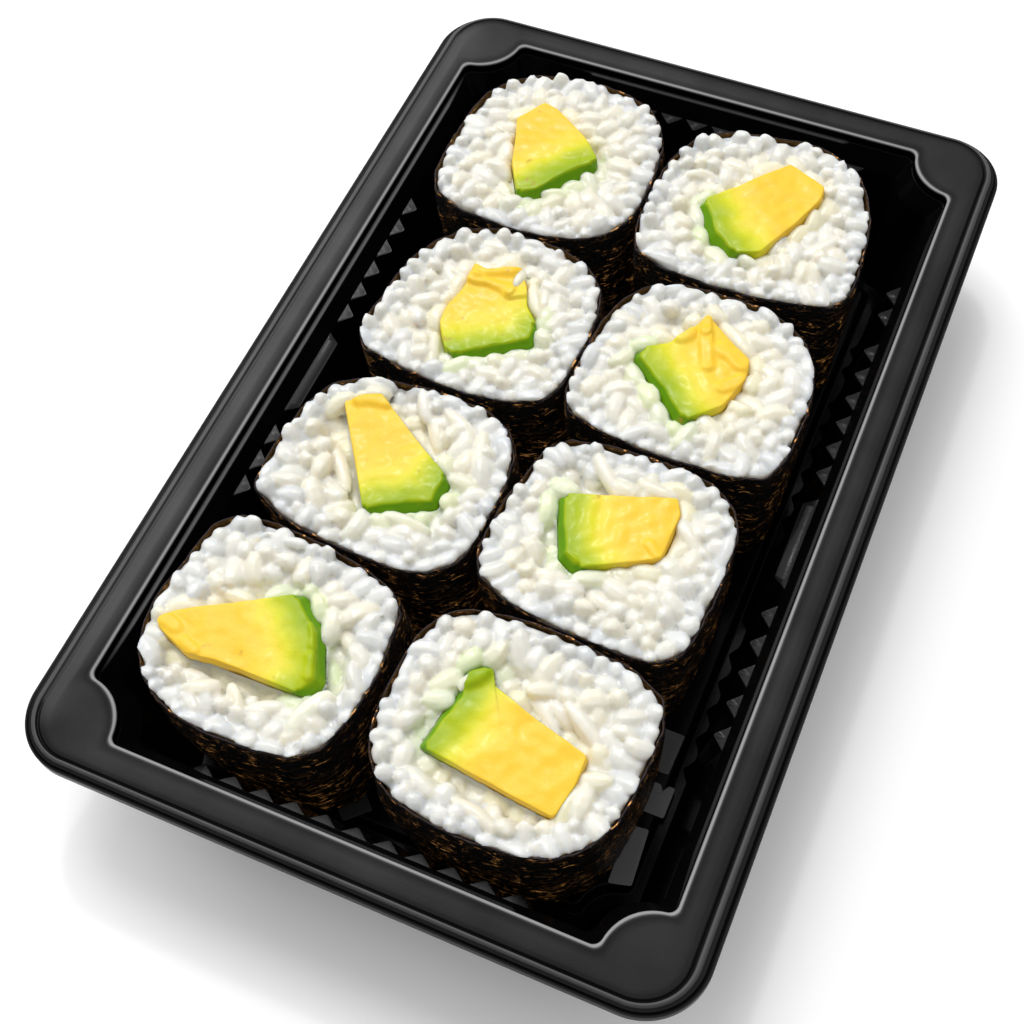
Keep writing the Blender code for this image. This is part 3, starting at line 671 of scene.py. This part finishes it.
# Grains that stand out, with their two ends: x, y, x, y, radius, lift
GRAINS = {
    1: ((-18.3, 40.6, -15.0, 41.6, 1.2, 0.5), (-20.6, 38.4, -21.4, 36.4, 1.2, 0.2)),
    2: ((31.6, 48.2, 27.4, 43.2, 1.3, 0.5), (16.9, 38.0, 15.8, 33.8, 1.4, 0.3),
        (18.0, 39.4, 20.0, 38.6, 1.2, 0.6), (23.0, 46.0, 22.6, 42.4, 1.2, 0.3)),
    3: ((-15.0, 22.6, -14.8, 20.4, 1.1, 0.8), (-12.0, 20.0, -9.6, 16.4, 1.5, 0.6),
        (-23.4, 5.4, -22.2, 1.6, 1.4, 0.3)),
    4: ((20.6, 24.4, 25.4, 21.4, 1.6, 0.5), (14.4, 1.8, 18.0, 1.4, 1.4, 0.2)),
    5: ((-20.4, -5.8, -18.0, -9.8, 1.3, 0.2), (-17.2, -8.2, -14.4, -12.8, 1.3, -0.4),
        (-15.0, -7.4, -9.4, -10.2, 1.3, 0.4), (-7.6, -10.0, -6.8, -16.4, 1.5, 0.6),
        (-15.2, -28.0, -9.6, -28.4, 1.5, 0.4), (-29.8, -19.0, -25.0, -24.6, 1.2, -1.2),
        (-30.8, -6.6, -26.4, -7.0, 1.3, 0.3), (-24.6, -12.6, -22.4, -10.4, 1.1, -1.6)),
    6: ((10.4, -6.2, 15.2, -11.2, 1.5, 0.4), (18.6, -8.6, 24.0, -9.0, 1.5, 0.4),
        (27.4, -13.6, 29.6, -15.6, 1.7, 0.5), (27.6, -18.0, 28.4, -16.6, 1.5, 0.1),
        (9.6, -29.0, 13.0, -28.2, 1.5, 0.3)),
    7: ((-13.4, -65.2, -11.2, -59.0, 1.8, 0.9), (-32.2, -62.8, -26.0, -64.0, 1.5, -1.3),
        (-24.2, -63.0, -22.0, -65.0, 1.1, 0.0), (-27.8, -38.0, -25.4, -37.6, 0.9, 0.5),
        (-19.8, -64.4, -17.2, -63.0, 1.5, 0.2), (-35.8, -61.4, -31.0, -64.4, 1.2, -2.0)),
    8: ((7.2, -49.6, 8.3, -48.0, 1.15, 1.1), (27.6, -58.6, 27.2, -62.8, 1.5, 0.5),
        (22.8, -47.0, 27.6, -50.6, 1.5, 0.2), (15.4, -45.4, 21.4, -50.2, 1.3, -1.0),
        (13.6, -65.8, 18.6, -67.4, 1.4, 0.1), (5.4, -64.4, 8.6, -66.0, 1.5, 0.2)),
}


def drawn(points, z):
    """A top outline at height z: it moves by its share of the depth times the draw."""
    share = np.asarray((ROLL_TOP - z) / (ROLL_TOP - ROLL_FOOT))
    return points + share[..., None] * (points * DRAW + DRAW_SHIFT)


def capsules(points, table):
    """For each bar of a table: distance of the points to its line over its radius, and height."""
    for x0, y0, x1, y1, radius, height in table:
        a, along = np.array((x0, y0)), np.array((x1 - x0, y1 - y0))
        share = np.clip((points - a) @ along / (along @ along), 0, 1)
        yield np.linalg.norm(points - a - share[:, None] * along, axis=1) / radius, height


def sunken(points, number):
    """How deep the rice's hollows are at each point."""
    depth = np.zeros(len(points))
    for reach, fall in capsules(points, HOLLOWS[number]):
        depth = np.maximum(depth, fall * smoothstep(1.25 - reach, 0, 0.9))
    return depth


def roll_loop(number, steps):
    """A roll's top outline, smoothed from the CAD sleeve's outer ring."""
    loop = smooth_loop(even_loop(outer_ring(f"roll_{number}_nori", ROLL_TOP), 400), 14)
    return even_loop(loop, steps, loop.mean(0) + (100.0, 0.0))


def avocado_loop(number, steps):
    """An avocado's outline through its corners, rounded by smoothing, anticlockwise."""
    corners = np.array(AVOCADO[number][0])[::-1]
    loop = smooth_loop(even_loop(corners, 400), 10)
    return even_loop(loop, steps, loop.mean(0) + (100.0, 0.0))


def skin_distance(points, number):
    """Distance to the line of corners along the avocado's skin side."""
    corners, (first, last) = AVOCADO[number]
    reach = np.full(len(points), 1e9)
    for i in range(first, last):
        bar = (*corners[i], *corners[(i + 1) % len(corners)], 1.0, 0.0)
        reach = np.minimum(reach, next(capsules(points, [bar]))[0])
    return reach


NORI_BODY = (0.0, 0.0, 0.0)
NORI_CUT = (0.030, 0.020, 0.022)
NORI_INSIDE = (0.16, 0.085, 0.022)


def make_nori(number, material):
    """A wrinkled sleeve: the roll's outline moved along its normals by smooth noise of arc
    length and height, with a ragged upper edge, and an inner face a sheet's thickness in."""
    top = roll_loop(number, LOOP_STEPS)
    length = np.linalg.norm(top - np.roll(top, 1, 0), axis=1).sum()
    arc = np.arange(LOOP_STEPS) / LOOP_STEPS * length
    turn = arc / length * 2 * math.pi
    round_x, round_y = np.cos(turn) * length / 6.28, np.sin(turn) * length / 6.28
    ragged = wave_noise(round_x, round_y, number, 18, 0.3, 2.2)
    edge = NORI_EDGE + 0.3 * ragged
    shares = np.concatenate([np.linspace(0, 0.97, 28), [0.99, 1.0]])
    rows, uv, tint = [], [], []
    for inner in (False, True):
        for share in (shares[::-1] if inner else shares):
            z = ROLL_FOOT + share * (edge - ROLL_FOOT) - (0.08 if share == 1.0 else 0.0)
            loop = drawn(top, z)
            broad = wave_noise(round_x + 0.2 * z, round_y + 0.6 * z, 20 + number, 16, 0.2, 0.7)
            crease = wave_noise(round_x + 0.4 * z, round_y - 1.1 * z, 40 + number, 24, 0.9, 3.2)
            belly = np.sin(math.pi * np.clip(1.05 * (1 - share) ** 0.6, 0, 1))
            fuller = FULLER.get(number, 0.0) * np.clip(-loop_normals(loop)[:, 1], 0, 1) ** 2
            swell = NORI_SWELL[0] + NORI_SWELL[1] * belly + fuller * smoothstep(1 - share, 0, 0.4)
            push = swell + NORI_WRINKLE * broad + NORI_WRINKLE * crease - (NORI_SHEET if inner else 0.0)
            push += (0.08 if inner else -0.08) * (share == 1.0)
            rows.append(np.column_stack([loop + loop_normals(loop) * push[:, None], z]))
            uv.append(np.column_stack([arc, z]))
            colour = NORI_CUT if share == 1.0 else NORI_INSIDE if inner else NORI_BODY
            tint.append(np.tile(colour, (LOOP_STEPS, 1)))
    rows = np.stack(rows)
    faces = quads(rows.shape[0], rows.shape[1], close_rows=True)
    return make_piece(f"roll_{number}_sheet", rows, faces, material,
                      f"roll_{number}_nori", uv=np.vstack(uv), values={"cut_tint": np.vstack(tint)})


def side_distance(points, loop):
    """Distance of each point to a closed outline, the outline's nearest point, and whether the
    point lies inside, by counting crossings of a ray."""
    a, b = loop, np.roll(loop, -1, 0)
    along = b - a
    offset = points[:, None] - a[None]
    share = np.clip((offset * along).sum(-1) / (along ** 2).sum(-1), 0, 1)
    nearest = a + share[..., None] * along
    gap = np.linalg.norm(points[:, None] - nearest, axis=-1)
    pick = gap.argmin(1)
    rows = np.arange(len(points))
    y = points[:, 1:2]
    crosses = (a[:, 1] > y) != (b[:, 1] > y)
    slope = np.where(np.abs(along[:, 1]) < 1e-9, 1e-9, along[:, 1])
    left = points[:, 0:1] < a[:, 0] + (y - a[:, 1]) * along[:, 0] / slope
    return gap[rows, pick], nearest[rows, pick], (crosses & left).sum(1) % 2 == 1


def settle(grains, loose, loop, hole, rounds):
    """Push apart grains laid at random until they fit: each grain is three discs in a line, and
    overlapping discs, the outline and the avocado push them by their overlap."""
    steps = np.array([-1.0, 0.0, 1.0])
    centres, heading, width = grains["centre"], grains["heading"], grains["width"]
    half = grains["length"] * np.cos(grains["pitch"])
    radius = np.repeat(width, 3)
    owner = np.repeat(np.arange(len(centres)), 3)
    other = owner[:, None] != owner[None]
    reach = CROWDING * (radius[:, None] + radius[None])
    for _ in range(rounds):
        ray = np.stack([np.cos(heading), np.sin(heading)], 1)
        discs = (centres[:, None] + ray[:, None] * half[:, None, None] * steps[:, None]).reshape(-1, 2)
        apart = discs[:, None] - discs[None]
        gap = np.linalg.norm(apart, axis=-1) + 1e-9
        overlap = np.clip(reach - gap, 0, None) * other
        force = (apart / gap[..., None] * overlap[..., None]).sum(1) * PUSH
        for wall, sign in ((loop, 1), (hole, -1)):
            distance, nearest, within = side_distance(discs, wall)
            signed = np.where(within, distance, -distance) * sign
            need = np.clip(radius * WALL_ROOM - signed, 0, None)
            away = (discs - nearest) / (distance[:, None] + 1e-9)
            away *= np.where(signed > 0, 1.0, -1.0)[:, None]
            force += away * need[:, None] * WALL_PUSH
        force = force.reshape(-1, 3, 2)
        lever = steps[None] * half[:, None]
        twist = (lever * (ray[:, None, 0] * force[..., 1] - ray[:, None, 1] * force[..., 0])).sum(1)
        centres = centres + force.mean(1) * MOVE * loose[:, None]
        heading = heading + twist / (half ** 2 + 0.8) * TURN * loose
    grains["centre"], grains["heading"] = centres, heading


def grain_template(rings=6, around=9):
    """Unit grain: x = cos(a), radius = sin(a)^0.82 about it, closed by a point at each end."""
    a = np.linspace(0, math.pi, rings + 2)[1:-1]
    b = np.arange(around) / around * 2 * math.pi
    radius = np.sin(a) ** 0.82
    body = np.stack([np.repeat(np.cos(a), around), np.outer(radius, np.cos(b)).ravel(),
                     np.outer(radius, np.sin(b)).ravel()], 1)
    points = np.vstack([body, [[1.0, 0, 0], [-1.0, 0, 0]]])
    first, last = len(body), len(body) + 1
    i = np.arange(around)
    j = (i + 1) % around
    end = (rings - 1) * around
    cap = np.stack([i, i, j, np.full(around, first)], 1)
    tail = np.stack([end + j, end + j, end + i, np.full(around, last)], 1)
    return points, np.vstack([quads(rings, around), cap, tail])


# Settling: how close grains may come, as a share of their radii, and to the walls, then how
# strongly each other and the walls push them, how far they move, and how far they turn
CROWDING = 0.78
WALL_ROOM = 0.75
PUSH = 0.2
WALL_PUSH = 0.5
MOVE = 1.6
TURN = 0.5
# Grains: how many are tried, their half thickness, and half the length between their round ends
GRAIN_TRIES = 3000
GRAIN_HALF = (1.5, 2.15)
GRAIN_REACH = (0.6, 1.5)
# The ring of grains along the sleeve: its distance, its step and how far it strays
RIM_INSET, RIM_STEP, RIM_STRAY = 0.9, 2.1, 0.35
# The share of grains that stand, nearer to the sleeve than the band's width and further in
RIM_BAND = 3.0
STANDING = (0.55, 0.25)
# Layers: how far down, the share of the plan that grains fill, rounds of settling, and inset
LAYERS = ((0.0, 1.65, 80, -0.1), (1.4, 1.3, 40, 0.9))
GRAIN_VOXEL = 0.28
SLAB_FOOT = 23.6
UPRIGHT = (1.0, 1.5)
LYING = (-0.35, 0.35)


def spread_grains(loop, hole, rng, fill, rim):
    """Grain ends in a ring along the sleeve, then random grains, lying or standing, until their
    plan area fills a share of the free area."""
    low, high = loop.min(0), loop.max(0)
    free = sum(sign * abs((x * np.roll(y, -1) - y * np.roll(x, -1)).sum()) / 2
               for sign, (x, y) in ((1, loop.T), (-1, hole.T)))
    spots = rng.uniform(low, high, (GRAIN_TRIES, 2))
    spots = spots[side_distance(spots, loop)[2] & ~side_distance(spots, hole)[2]]
    if rim:
        inset = loop - loop_normals(loop) * RIM_INSET
        count = int(np.linalg.norm(loop - np.roll(loop, 1, 0), axis=1).sum() / RIM_STEP)
        ring = even_loop(inset, count) + rng.normal(0, RIM_STRAY, (count, 2))
        spots = np.vstack([ring, spots])
    total = len(spots)
    width = rng.uniform(*GRAIN_HALF, total)
    length = rng.uniform(*GRAIN_REACH, total)
    edge = side_distance(spots, loop)[0]
    standing = rng.random(total) < np.where(edge < RIM_BAND, *STANDING)
    pitch = np.where(standing, rng.uniform(*UPRIGHT, total), rng.uniform(*LYING, total))
    heading = rng.uniform(0, 2 * math.pi, total)
    plan = np.cumsum(4 * length * np.cos(pitch) * width + math.pi * width ** 2)
    keep = slice(0, int(np.searchsorted(plan, fill * free)))
    grains = dict(centre=spots, heading=heading, length=length, width=width, pitch=pitch)
    return {key: value[keep] for key, value in grains.items()}


def named_grains(number):
    """The grains that stand out, lying between their two ends, and how high they are lifted."""
    ends = np.array(GRAINS[number])
    a, b, width, lift = ends[:, :2], ends[:, 2:4], ends[:, 4], ends[:, 5]
    along = b - a
    return dict(centre=(a + b) / 2, heading=np.arctan2(along[:, 1], along[:, 0]),
                length=np.maximum(np.linalg.norm(along, axis=1) / 2, 0.4), width=width,
                pitch=np.zeros(len(a))), lift


def grain_points(template, grains, z, rng):
    """Each grain swollen by sines over its form, scaled, bent by y += bend x^2, tapered, pitched
    about its side and turned."""
    count = len(z)
    width, length = grains["width"], grains["length"]
    unit = template[None]
    for amount, waves in ((0.11, 2.4), (0.06, 4.0)):
        heading = rng.standard_normal((count, 1, 3))
        heading /= np.linalg.norm(heading, axis=2, keepdims=True)
        ripple = np.sin(waves * (unit * heading).sum(2) + rng.uniform(0, 2 * math.pi, (count, 1)))
        unit = unit * (1 + amount * ripple[..., None])
    x = unit[..., 0] * (length + width)[:, None]
    taper = 1 + rng.uniform(-0.16, 0.16, (count, 1)) * unit[..., 0]
    flat = rng.uniform(0.84, 1.0, (count, 1))
    y = unit[..., 1] * width[:, None] * taper
    zz = unit[..., 2] * width[:, None] * taper * flat
    y = y + rng.uniform(-0.35, 0.35, (count, 1)) * unit[..., 0] ** 2 * width[:, None]
    cp, sp = np.cos(grains["pitch"])[:, None], np.sin(grains["pitch"])[:, None]
    ch, sh = np.cos(grains["heading"])[:, None], np.sin(grains["heading"])[:, None]
    x, zz = x * cp - zz * sp, x * sp + zz * cp
    px = grains["centre"][:, 0:1] + x * ch - y * sh
    py = grains["centre"][:, 1:2] + x * sh + y * ch
    return np.stack([px, py, z[:, None] + zz], -1)


RICE_COOL = np.array((0.64, 0.65, 0.65))
RICE_WHITE = np.array((0.76, 0.75, 0.70))
RICE_WARM = np.array((0.80, 0.75, 0.60))
RICE_GREEN = np.array((0.69, 0.79, 0.42))
RICE_YELLOW = np.array((0.83, 0.76, 0.47))


def rice_tint(points, number, loop, hole, rng):
    """Cool at the rim, ivory inside, tinged by the avocado close to it."""
    edge = side_distance(points, loop)[0]
    inner = side_distance(points, hole)[0]
    warm = smoothstep(edge + rng.normal(0, 0.9, len(points)), 1.0, 6.0)[:, None]
    tint = RICE_COOL + (RICE_WARM - RICE_COOL) * warm
    tint = tint + (RICE_WHITE - tint) * rng.uniform(0.1, 0.8, (len(points), 1))
    close = smoothstep(3.2 - inner, 0, 3.0)[:, None] * rng.uniform(0.2, 0.8, (len(points), 1))
    # Close to the avocado the tint moves towards green by the skin and towards yellow elsewhere
    avocado_tinge = np.where(skin_distance(points, number)[:, None] < 4.0, RICE_GREEN, RICE_YELLOW)
    return tint + (avocado_tinge - tint) * close


def make_rice(number, grain_skin, core_skin, rng):
    """Loose grains in two layers over a bumpy core that fills the sleeve round the avocado."""
    top = roll_loop(number, 120)
    hole = avocado_loop(number, 120)
    template, body = grain_template()
    clouds, tints = [], []
    for drop, fill, rounds, inset in LAYERS:
        loop = top - loop_normals(top) * inset
        grains = spread_grains(loop, hole, rng, fill, drop == 0.0)
        count = len(grains["width"])
        loose = np.ones(count)
        if drop == 0.0:
            named, lift = named_grains(number)
            grains = {key: np.concatenate([named[key], grains[key]]) for key in grains}
            loose = np.concatenate([np.zeros(len(lift)), loose])
        settle(grains, loose, loop[::2], hole[::2], rounds)
        spots, width = grains["centre"], grains["width"]
        swell = wave_noise(spots[:, 0], spots[:, 1], 200 + number, 14, 0.3, 0.9)
        edge = side_distance(spots, loop)[0]
        height = ROLL_TOP + 0.5 + 0.3 * swell + rng.uniform(-0.3, 0.3, len(spots)) - drop
        height -= sunken(spots, number) + 0.1 * smoothstep(2.2 - edge, 0, 1.2)
        if drop == 0.0:
            height[:len(lift)] = ROLL_TOP + lift
        z = height - width - grains["length"] * np.abs(np.sin(grains["pitch"]))
        clouds.append(grain_points(template, grains, z, rng))
        tint = rice_tint(spots, number, loop, hole, rng)
        tints.append(np.repeat(tint[:, None], len(template), 1))
    points = kept_in(np.vstack([cloud.reshape(-1, 3) for cloud in clouds]), top)
    tint = np.vstack([t.reshape(-1, 3) for t in tints])
    starts = np.arange(len(points) // len(template)) * len(template)
    faces = (body[None] + starts[:, None, None]).reshape(-1, 4)
    slab, slab_faces, slab_tint = core_block(number, top, hole, SLAB_FOOT, rng)
    block, block_faces, block_tint = core_block(number, top, hole, ROLL_FOOT, rng)
    make_piece(f"roll_{number}_core", block - (0, 0, 0.5), block_faces, core_skin,
               f"roll_{number}_rice", values={"grain_tint": block_tint})
    piece = make_piece(f"roll_{number}_grains", np.vstack([points, slab]),
                       np.vstack([faces, slab_faces + len(points)]), grain_skin,
                       f"roll_{number}_rice", merge=0.0001,
                       values={"grain_tint": np.vstack([tint, slab_tint])})
    fuse(piece)
    return piece


def kept_in(points, loop):
    """Press grains flat where they would cross the sleeve, and lower any too tall for the tray."""
    share = ((ROLL_TOP - points[:, 2]) / (ROLL_TOP - ROLL_FOOT))[:, None]
    plan = (points[:, :2] - share * DRAW_SHIFT) / (1 + share * DRAW)
    gap, nearest, within = side_distance(plan, loop)
    inward = (plan - nearest) / (gap[:, None] + 1e-9) * np.where(within, 1.0, -1.0)[:, None]
    room = 0.45 - 0.5 * smoothstep(points[:, 2], 26.9, 27.7)
    plan = plan + inward * np.clip(room - np.where(within, gap, -gap), 0, None)[:, None]
    ceiling = cad_bounds[1][2] / MM - 0.05
    return np.column_stack([plan + share * (plan * DRAW + DRAW_SHIFT),
                            np.minimum(points[:, 2], ceiling)])


def fuse(piece):
    """Stick a piece's loose grains together into one closed skin, each keeping its own tint."""
    piece.data.remesh_voxel_size = GRAIN_VOXEL * MM
    piece.data.use_remesh_preserve_attributes = True
    bpy.context.view_layer.objects.active = piece
    bpy.ops.object.voxel_remesh()
    piece.data.shade_smooth()
    blend = piece.modifiers.new("blend", "SMOOTH")
    blend.factor = 0.5
    blend.iterations = 6


def core_block(number, top, hole, foot, rng):
    """A ring-shaped block: up inside the sleeve, over a bumpy top to the avocado, and down."""
    steps = len(top)
    outer = top - loop_normals(top) * 0.6
    inner = hole + loop_normals(smooth_loop(hole, 3)) * 0.1
    level = ROLL_TOP - 1.15
    rows = []
    for z in np.linspace(foot, level, 4):
        rows.append(np.column_stack([drawn(outer, z), np.full(steps, z)]))
    for share in np.linspace(0.06, 0.97, 16):
        spot = outer + (inner - outer) * share
        bumps = wave_noise(spot[:, 0], spot[:, 1], 100 + number, 20, 1.2, 2.6)
        height = np.maximum(level + 0.8 * bumps - sunken(spot, number), SLAB_FOOT + 0.6)
        rows.append(np.column_stack([drawn(spot, level), height]))
    for z in np.linspace(level, foot, 4):
        rows.append(np.column_stack([drawn(inner, z), np.full(steps, z)]))
    rows = np.stack(rows)
    flat = rows.reshape(-1, 3)
    tint = rice_tint(flat[:, :2], number, top, hole, rng) * 0.96
    return flat, quads(rows.shape[0], steps, close_rows=True), tint


def make_avocado(number, material):
    """Rings up the side, a slope on the skin side, a softened edge, and in to the middle of an
    uneven top with torn flakes."""
    node = f"roll_{number}_avocado"
    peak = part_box(node)[1][2] / MM - (0.55 if number in FLAKES else 0.15)
    steps = AVOCADO_STEPS
    top = avocado_loop(number, steps)
    out = loop_normals(smooth_loop(top, 4))
    skin = smoothstep(1.6 - skin_distance(top, number), 0, 1.4)
    ragged = wave_noise(top[:, 0], top[:, 1], number, 16, 0.5, 2.4)
    slope = (0.25 + 1.15 * skin + 0.3 * ragged * (0.3 + skin))[:, None]
    middle = top.mean(0)
    rows = []
    for share in (0.0, 0.5):
        foot = drawn(top, ROLL_FOOT)
        rows.append(np.column_stack([middle + (foot - middle) * share, np.full(steps, ROLL_FOOT)]))
    for z in np.concatenate([np.linspace(ROLL_FOOT, 22, 6), np.linspace(23, peak - 1.9, 7)]):
        ripple = 0.14 * wave_noise(top[:, 0] + z, top[:, 1] - 0.7 * z, number, 16, 0.5, 1.8)
        rows.append(np.column_stack([drawn(top, z) + out * ripple[:, None], np.full(steps, z)]))
    towards = middle - top
    face = top + towards / np.linalg.norm(towards, axis=1, keepdims=True) * slope
    for share in (0.25, 0.5, 0.75, 0.92):
        rows.append(np.column_stack([top + (face - top) * share,
                                     np.full(steps, peak - 1.8 * (1 - share))]))
    for share, drop in ((1.0, 0.06), (0.985, 0.02), *((v, 0.0) for v in np.linspace(0.96, 0.0, 30))):
        rows.append(np.column_stack([middle + (face - middle) * share, np.full(steps, peak - drop)]))
    flat = np.stack(rows).reshape(-1, 3)
    relief = wave_noise(flat[:, 0], flat[:, 1], 50 + number, 22, 0.5, 3.0)
    upper = smoothstep(flat[:, 2], peak - 1.5, peak)
    flat[:, 2] += upper * (0.2 * relief - 0.1)
    torn = 0.35 * wave_noise(flat[:, 0], flat[:, 1], 90 + number, 20, 0.6, 2.6)
    for reach, height in capsules(flat[:, :2], FLAKES.get(number, ())):
        flat[:, 2] += upper * height * smoothstep(1.2 - reach + torn, 0, 0.7)
    wander = 1.1 * wave_noise(flat[:, 0], flat[:, 1], 70 + number, 14, 0.3, 1.2)
    deep = skin_distance(flat[:, :2], number)
    ripeness_and_side_shade = 1 - smoothstep(deep + wander, 0.4, 11.5)
    # Painted shade: side faces near the skin are pushed to a darker green than the top beside them
    side = smoothstep(peak - flat[:, 2], 0.2, 0.8) * smoothstep(3.0 - deep, 0, 1.5)
    ripeness_and_side_shade = np.clip(0.84 * ripeness_and_side_shade + 0.25 * side, 0, 1)
    flat[:, 2] = np.minimum(flat[:, 2], cad_bounds[1][2] / MM - 0.02)
    faces = quads(len(rows), steps)
    return make_piece(f"roll_{number}_flesh", flat, faces, material, node,
                      merge=0.0005, values={"ripeness_and_side_shade": ripeness_and_side_shade})


# Camera, light and floor

CAMERA_PLACE = (58.2, -125.3, 230.5)
CAMERA_TURN = (30.25, 2.82, 23.46)
CAMERA_LENS = 53.8


# Lamps: the place each shines from, its width as an angle, and its power
LAMPS = {
    "key": ((-0.36, 0.5, 1.0), 28.0, 1.1),
    "spark": ((-0.3, 0.6, 1.0), 4.0, 0.35),
    "side": ((-0.8, 0.42, 0.6), 36.0, 0.75),
    "top": ((-0.1, 0.2, 1.0), 110.0, 1.3),
}
STUDIO_LIGHT = 0.32
FLOOR_REACH = 2.0


def add_camera():
    """A camera at the photograph's place, without depth of field."""
    camera = bpy.data.objects.new("camera", bpy.data.cameras.new("camera"))
    camera.data.lens = CAMERA_LENS
    camera.data.sensor_width = 36.0
    camera.data.clip_start = 0.01
    camera.location = Vector(CAMERA_PLACE) * MM
    camera.rotation_euler = Euler([math.radians(a) for a in CAMERA_TURN], "XYZ")
    bpy.context.scene.collection.objects.link(camera)
    bpy.context.scene.camera = camera


def add_lamp(name, place, spread, power):
    """A wide distant lamp shining from a place towards the middle: spread is its width as an angle."""
    lamp = bpy.data.lights.new(name, "SUN")
    lamp.angle = math.radians(spread)
    lamp.energy = power
    item = bpy.data.objects.new(name, lamp)
    item.location = Vector(place)
    item.rotation_euler = (-Vector(place)).to_track_quat("-Z", "Y").to_euler()
    bpy.context.scene.collection.objects.link(item)


def add_surroundings():
    """An even white studio with four distant lamps over a pale floor."""
    world = bpy.data.worlds.new("studio")
    world.use_nodes = True
    background = world.node_tree.nodes["Background"]
    background.inputs["Color"].default_value = (1.0, 1.0, 1.0, 1.0)
    background.inputs["Strength"].default_value = STUDIO_LIGHT
    bpy.context.scene.world = world
    bpy.context.scene.view_settings.view_transform = "Standard"
    for name, lamp in LAMPS.items():
        add_lamp(name, *lamp)
    mesh = bpy.data.meshes.new("floor")
    corners = [(x * FLOOR_REACH, y * FLOOR_REACH, 0) for x, y in ((-1, -1), (1, -1), (1, 1), (-1, 1))]
    mesh.from_pydata(corners, [], [(0, 1, 2, 3)])
    material = new_material("pale_floor", Roughness=0.7, IOR=1.3, Base_Color=(0.93, 0.93, 0.93, 1.0),
                            Emission_Color=(1.0, 1.0, 1.0, 1.0), Emission_Strength=0.06)[0]
    mesh.materials.append(material)
    floor = bpy.data.objects.new("floor", mesh)
    bpy.context.scene.collection.objects.link(floor)


def main():
    """The camera and the studio, the tray, then each roll's sleeve, rice and avocado."""
    add_camera()
    add_surroundings()
    plastic = plastic_material()
    make_tray(plastic)
    make_pads(plastic)
    nori = nori_material()
    grain_skin = rice_material("rice_grains", (0.94, 0.96, 0.98))
    core_skin = rice_material("rice_core", (0.88, 0.89, 0.88), 0.4)
    flesh = avocado_material()
    for number in range(1, ROLL_COUNT + 1):
        rng = np.random.default_rng(number)
        make_nori(number, nori)
        make_rice(number, grain_skin, core_skin, rng)
        make_avocado(number, flesh)


main()
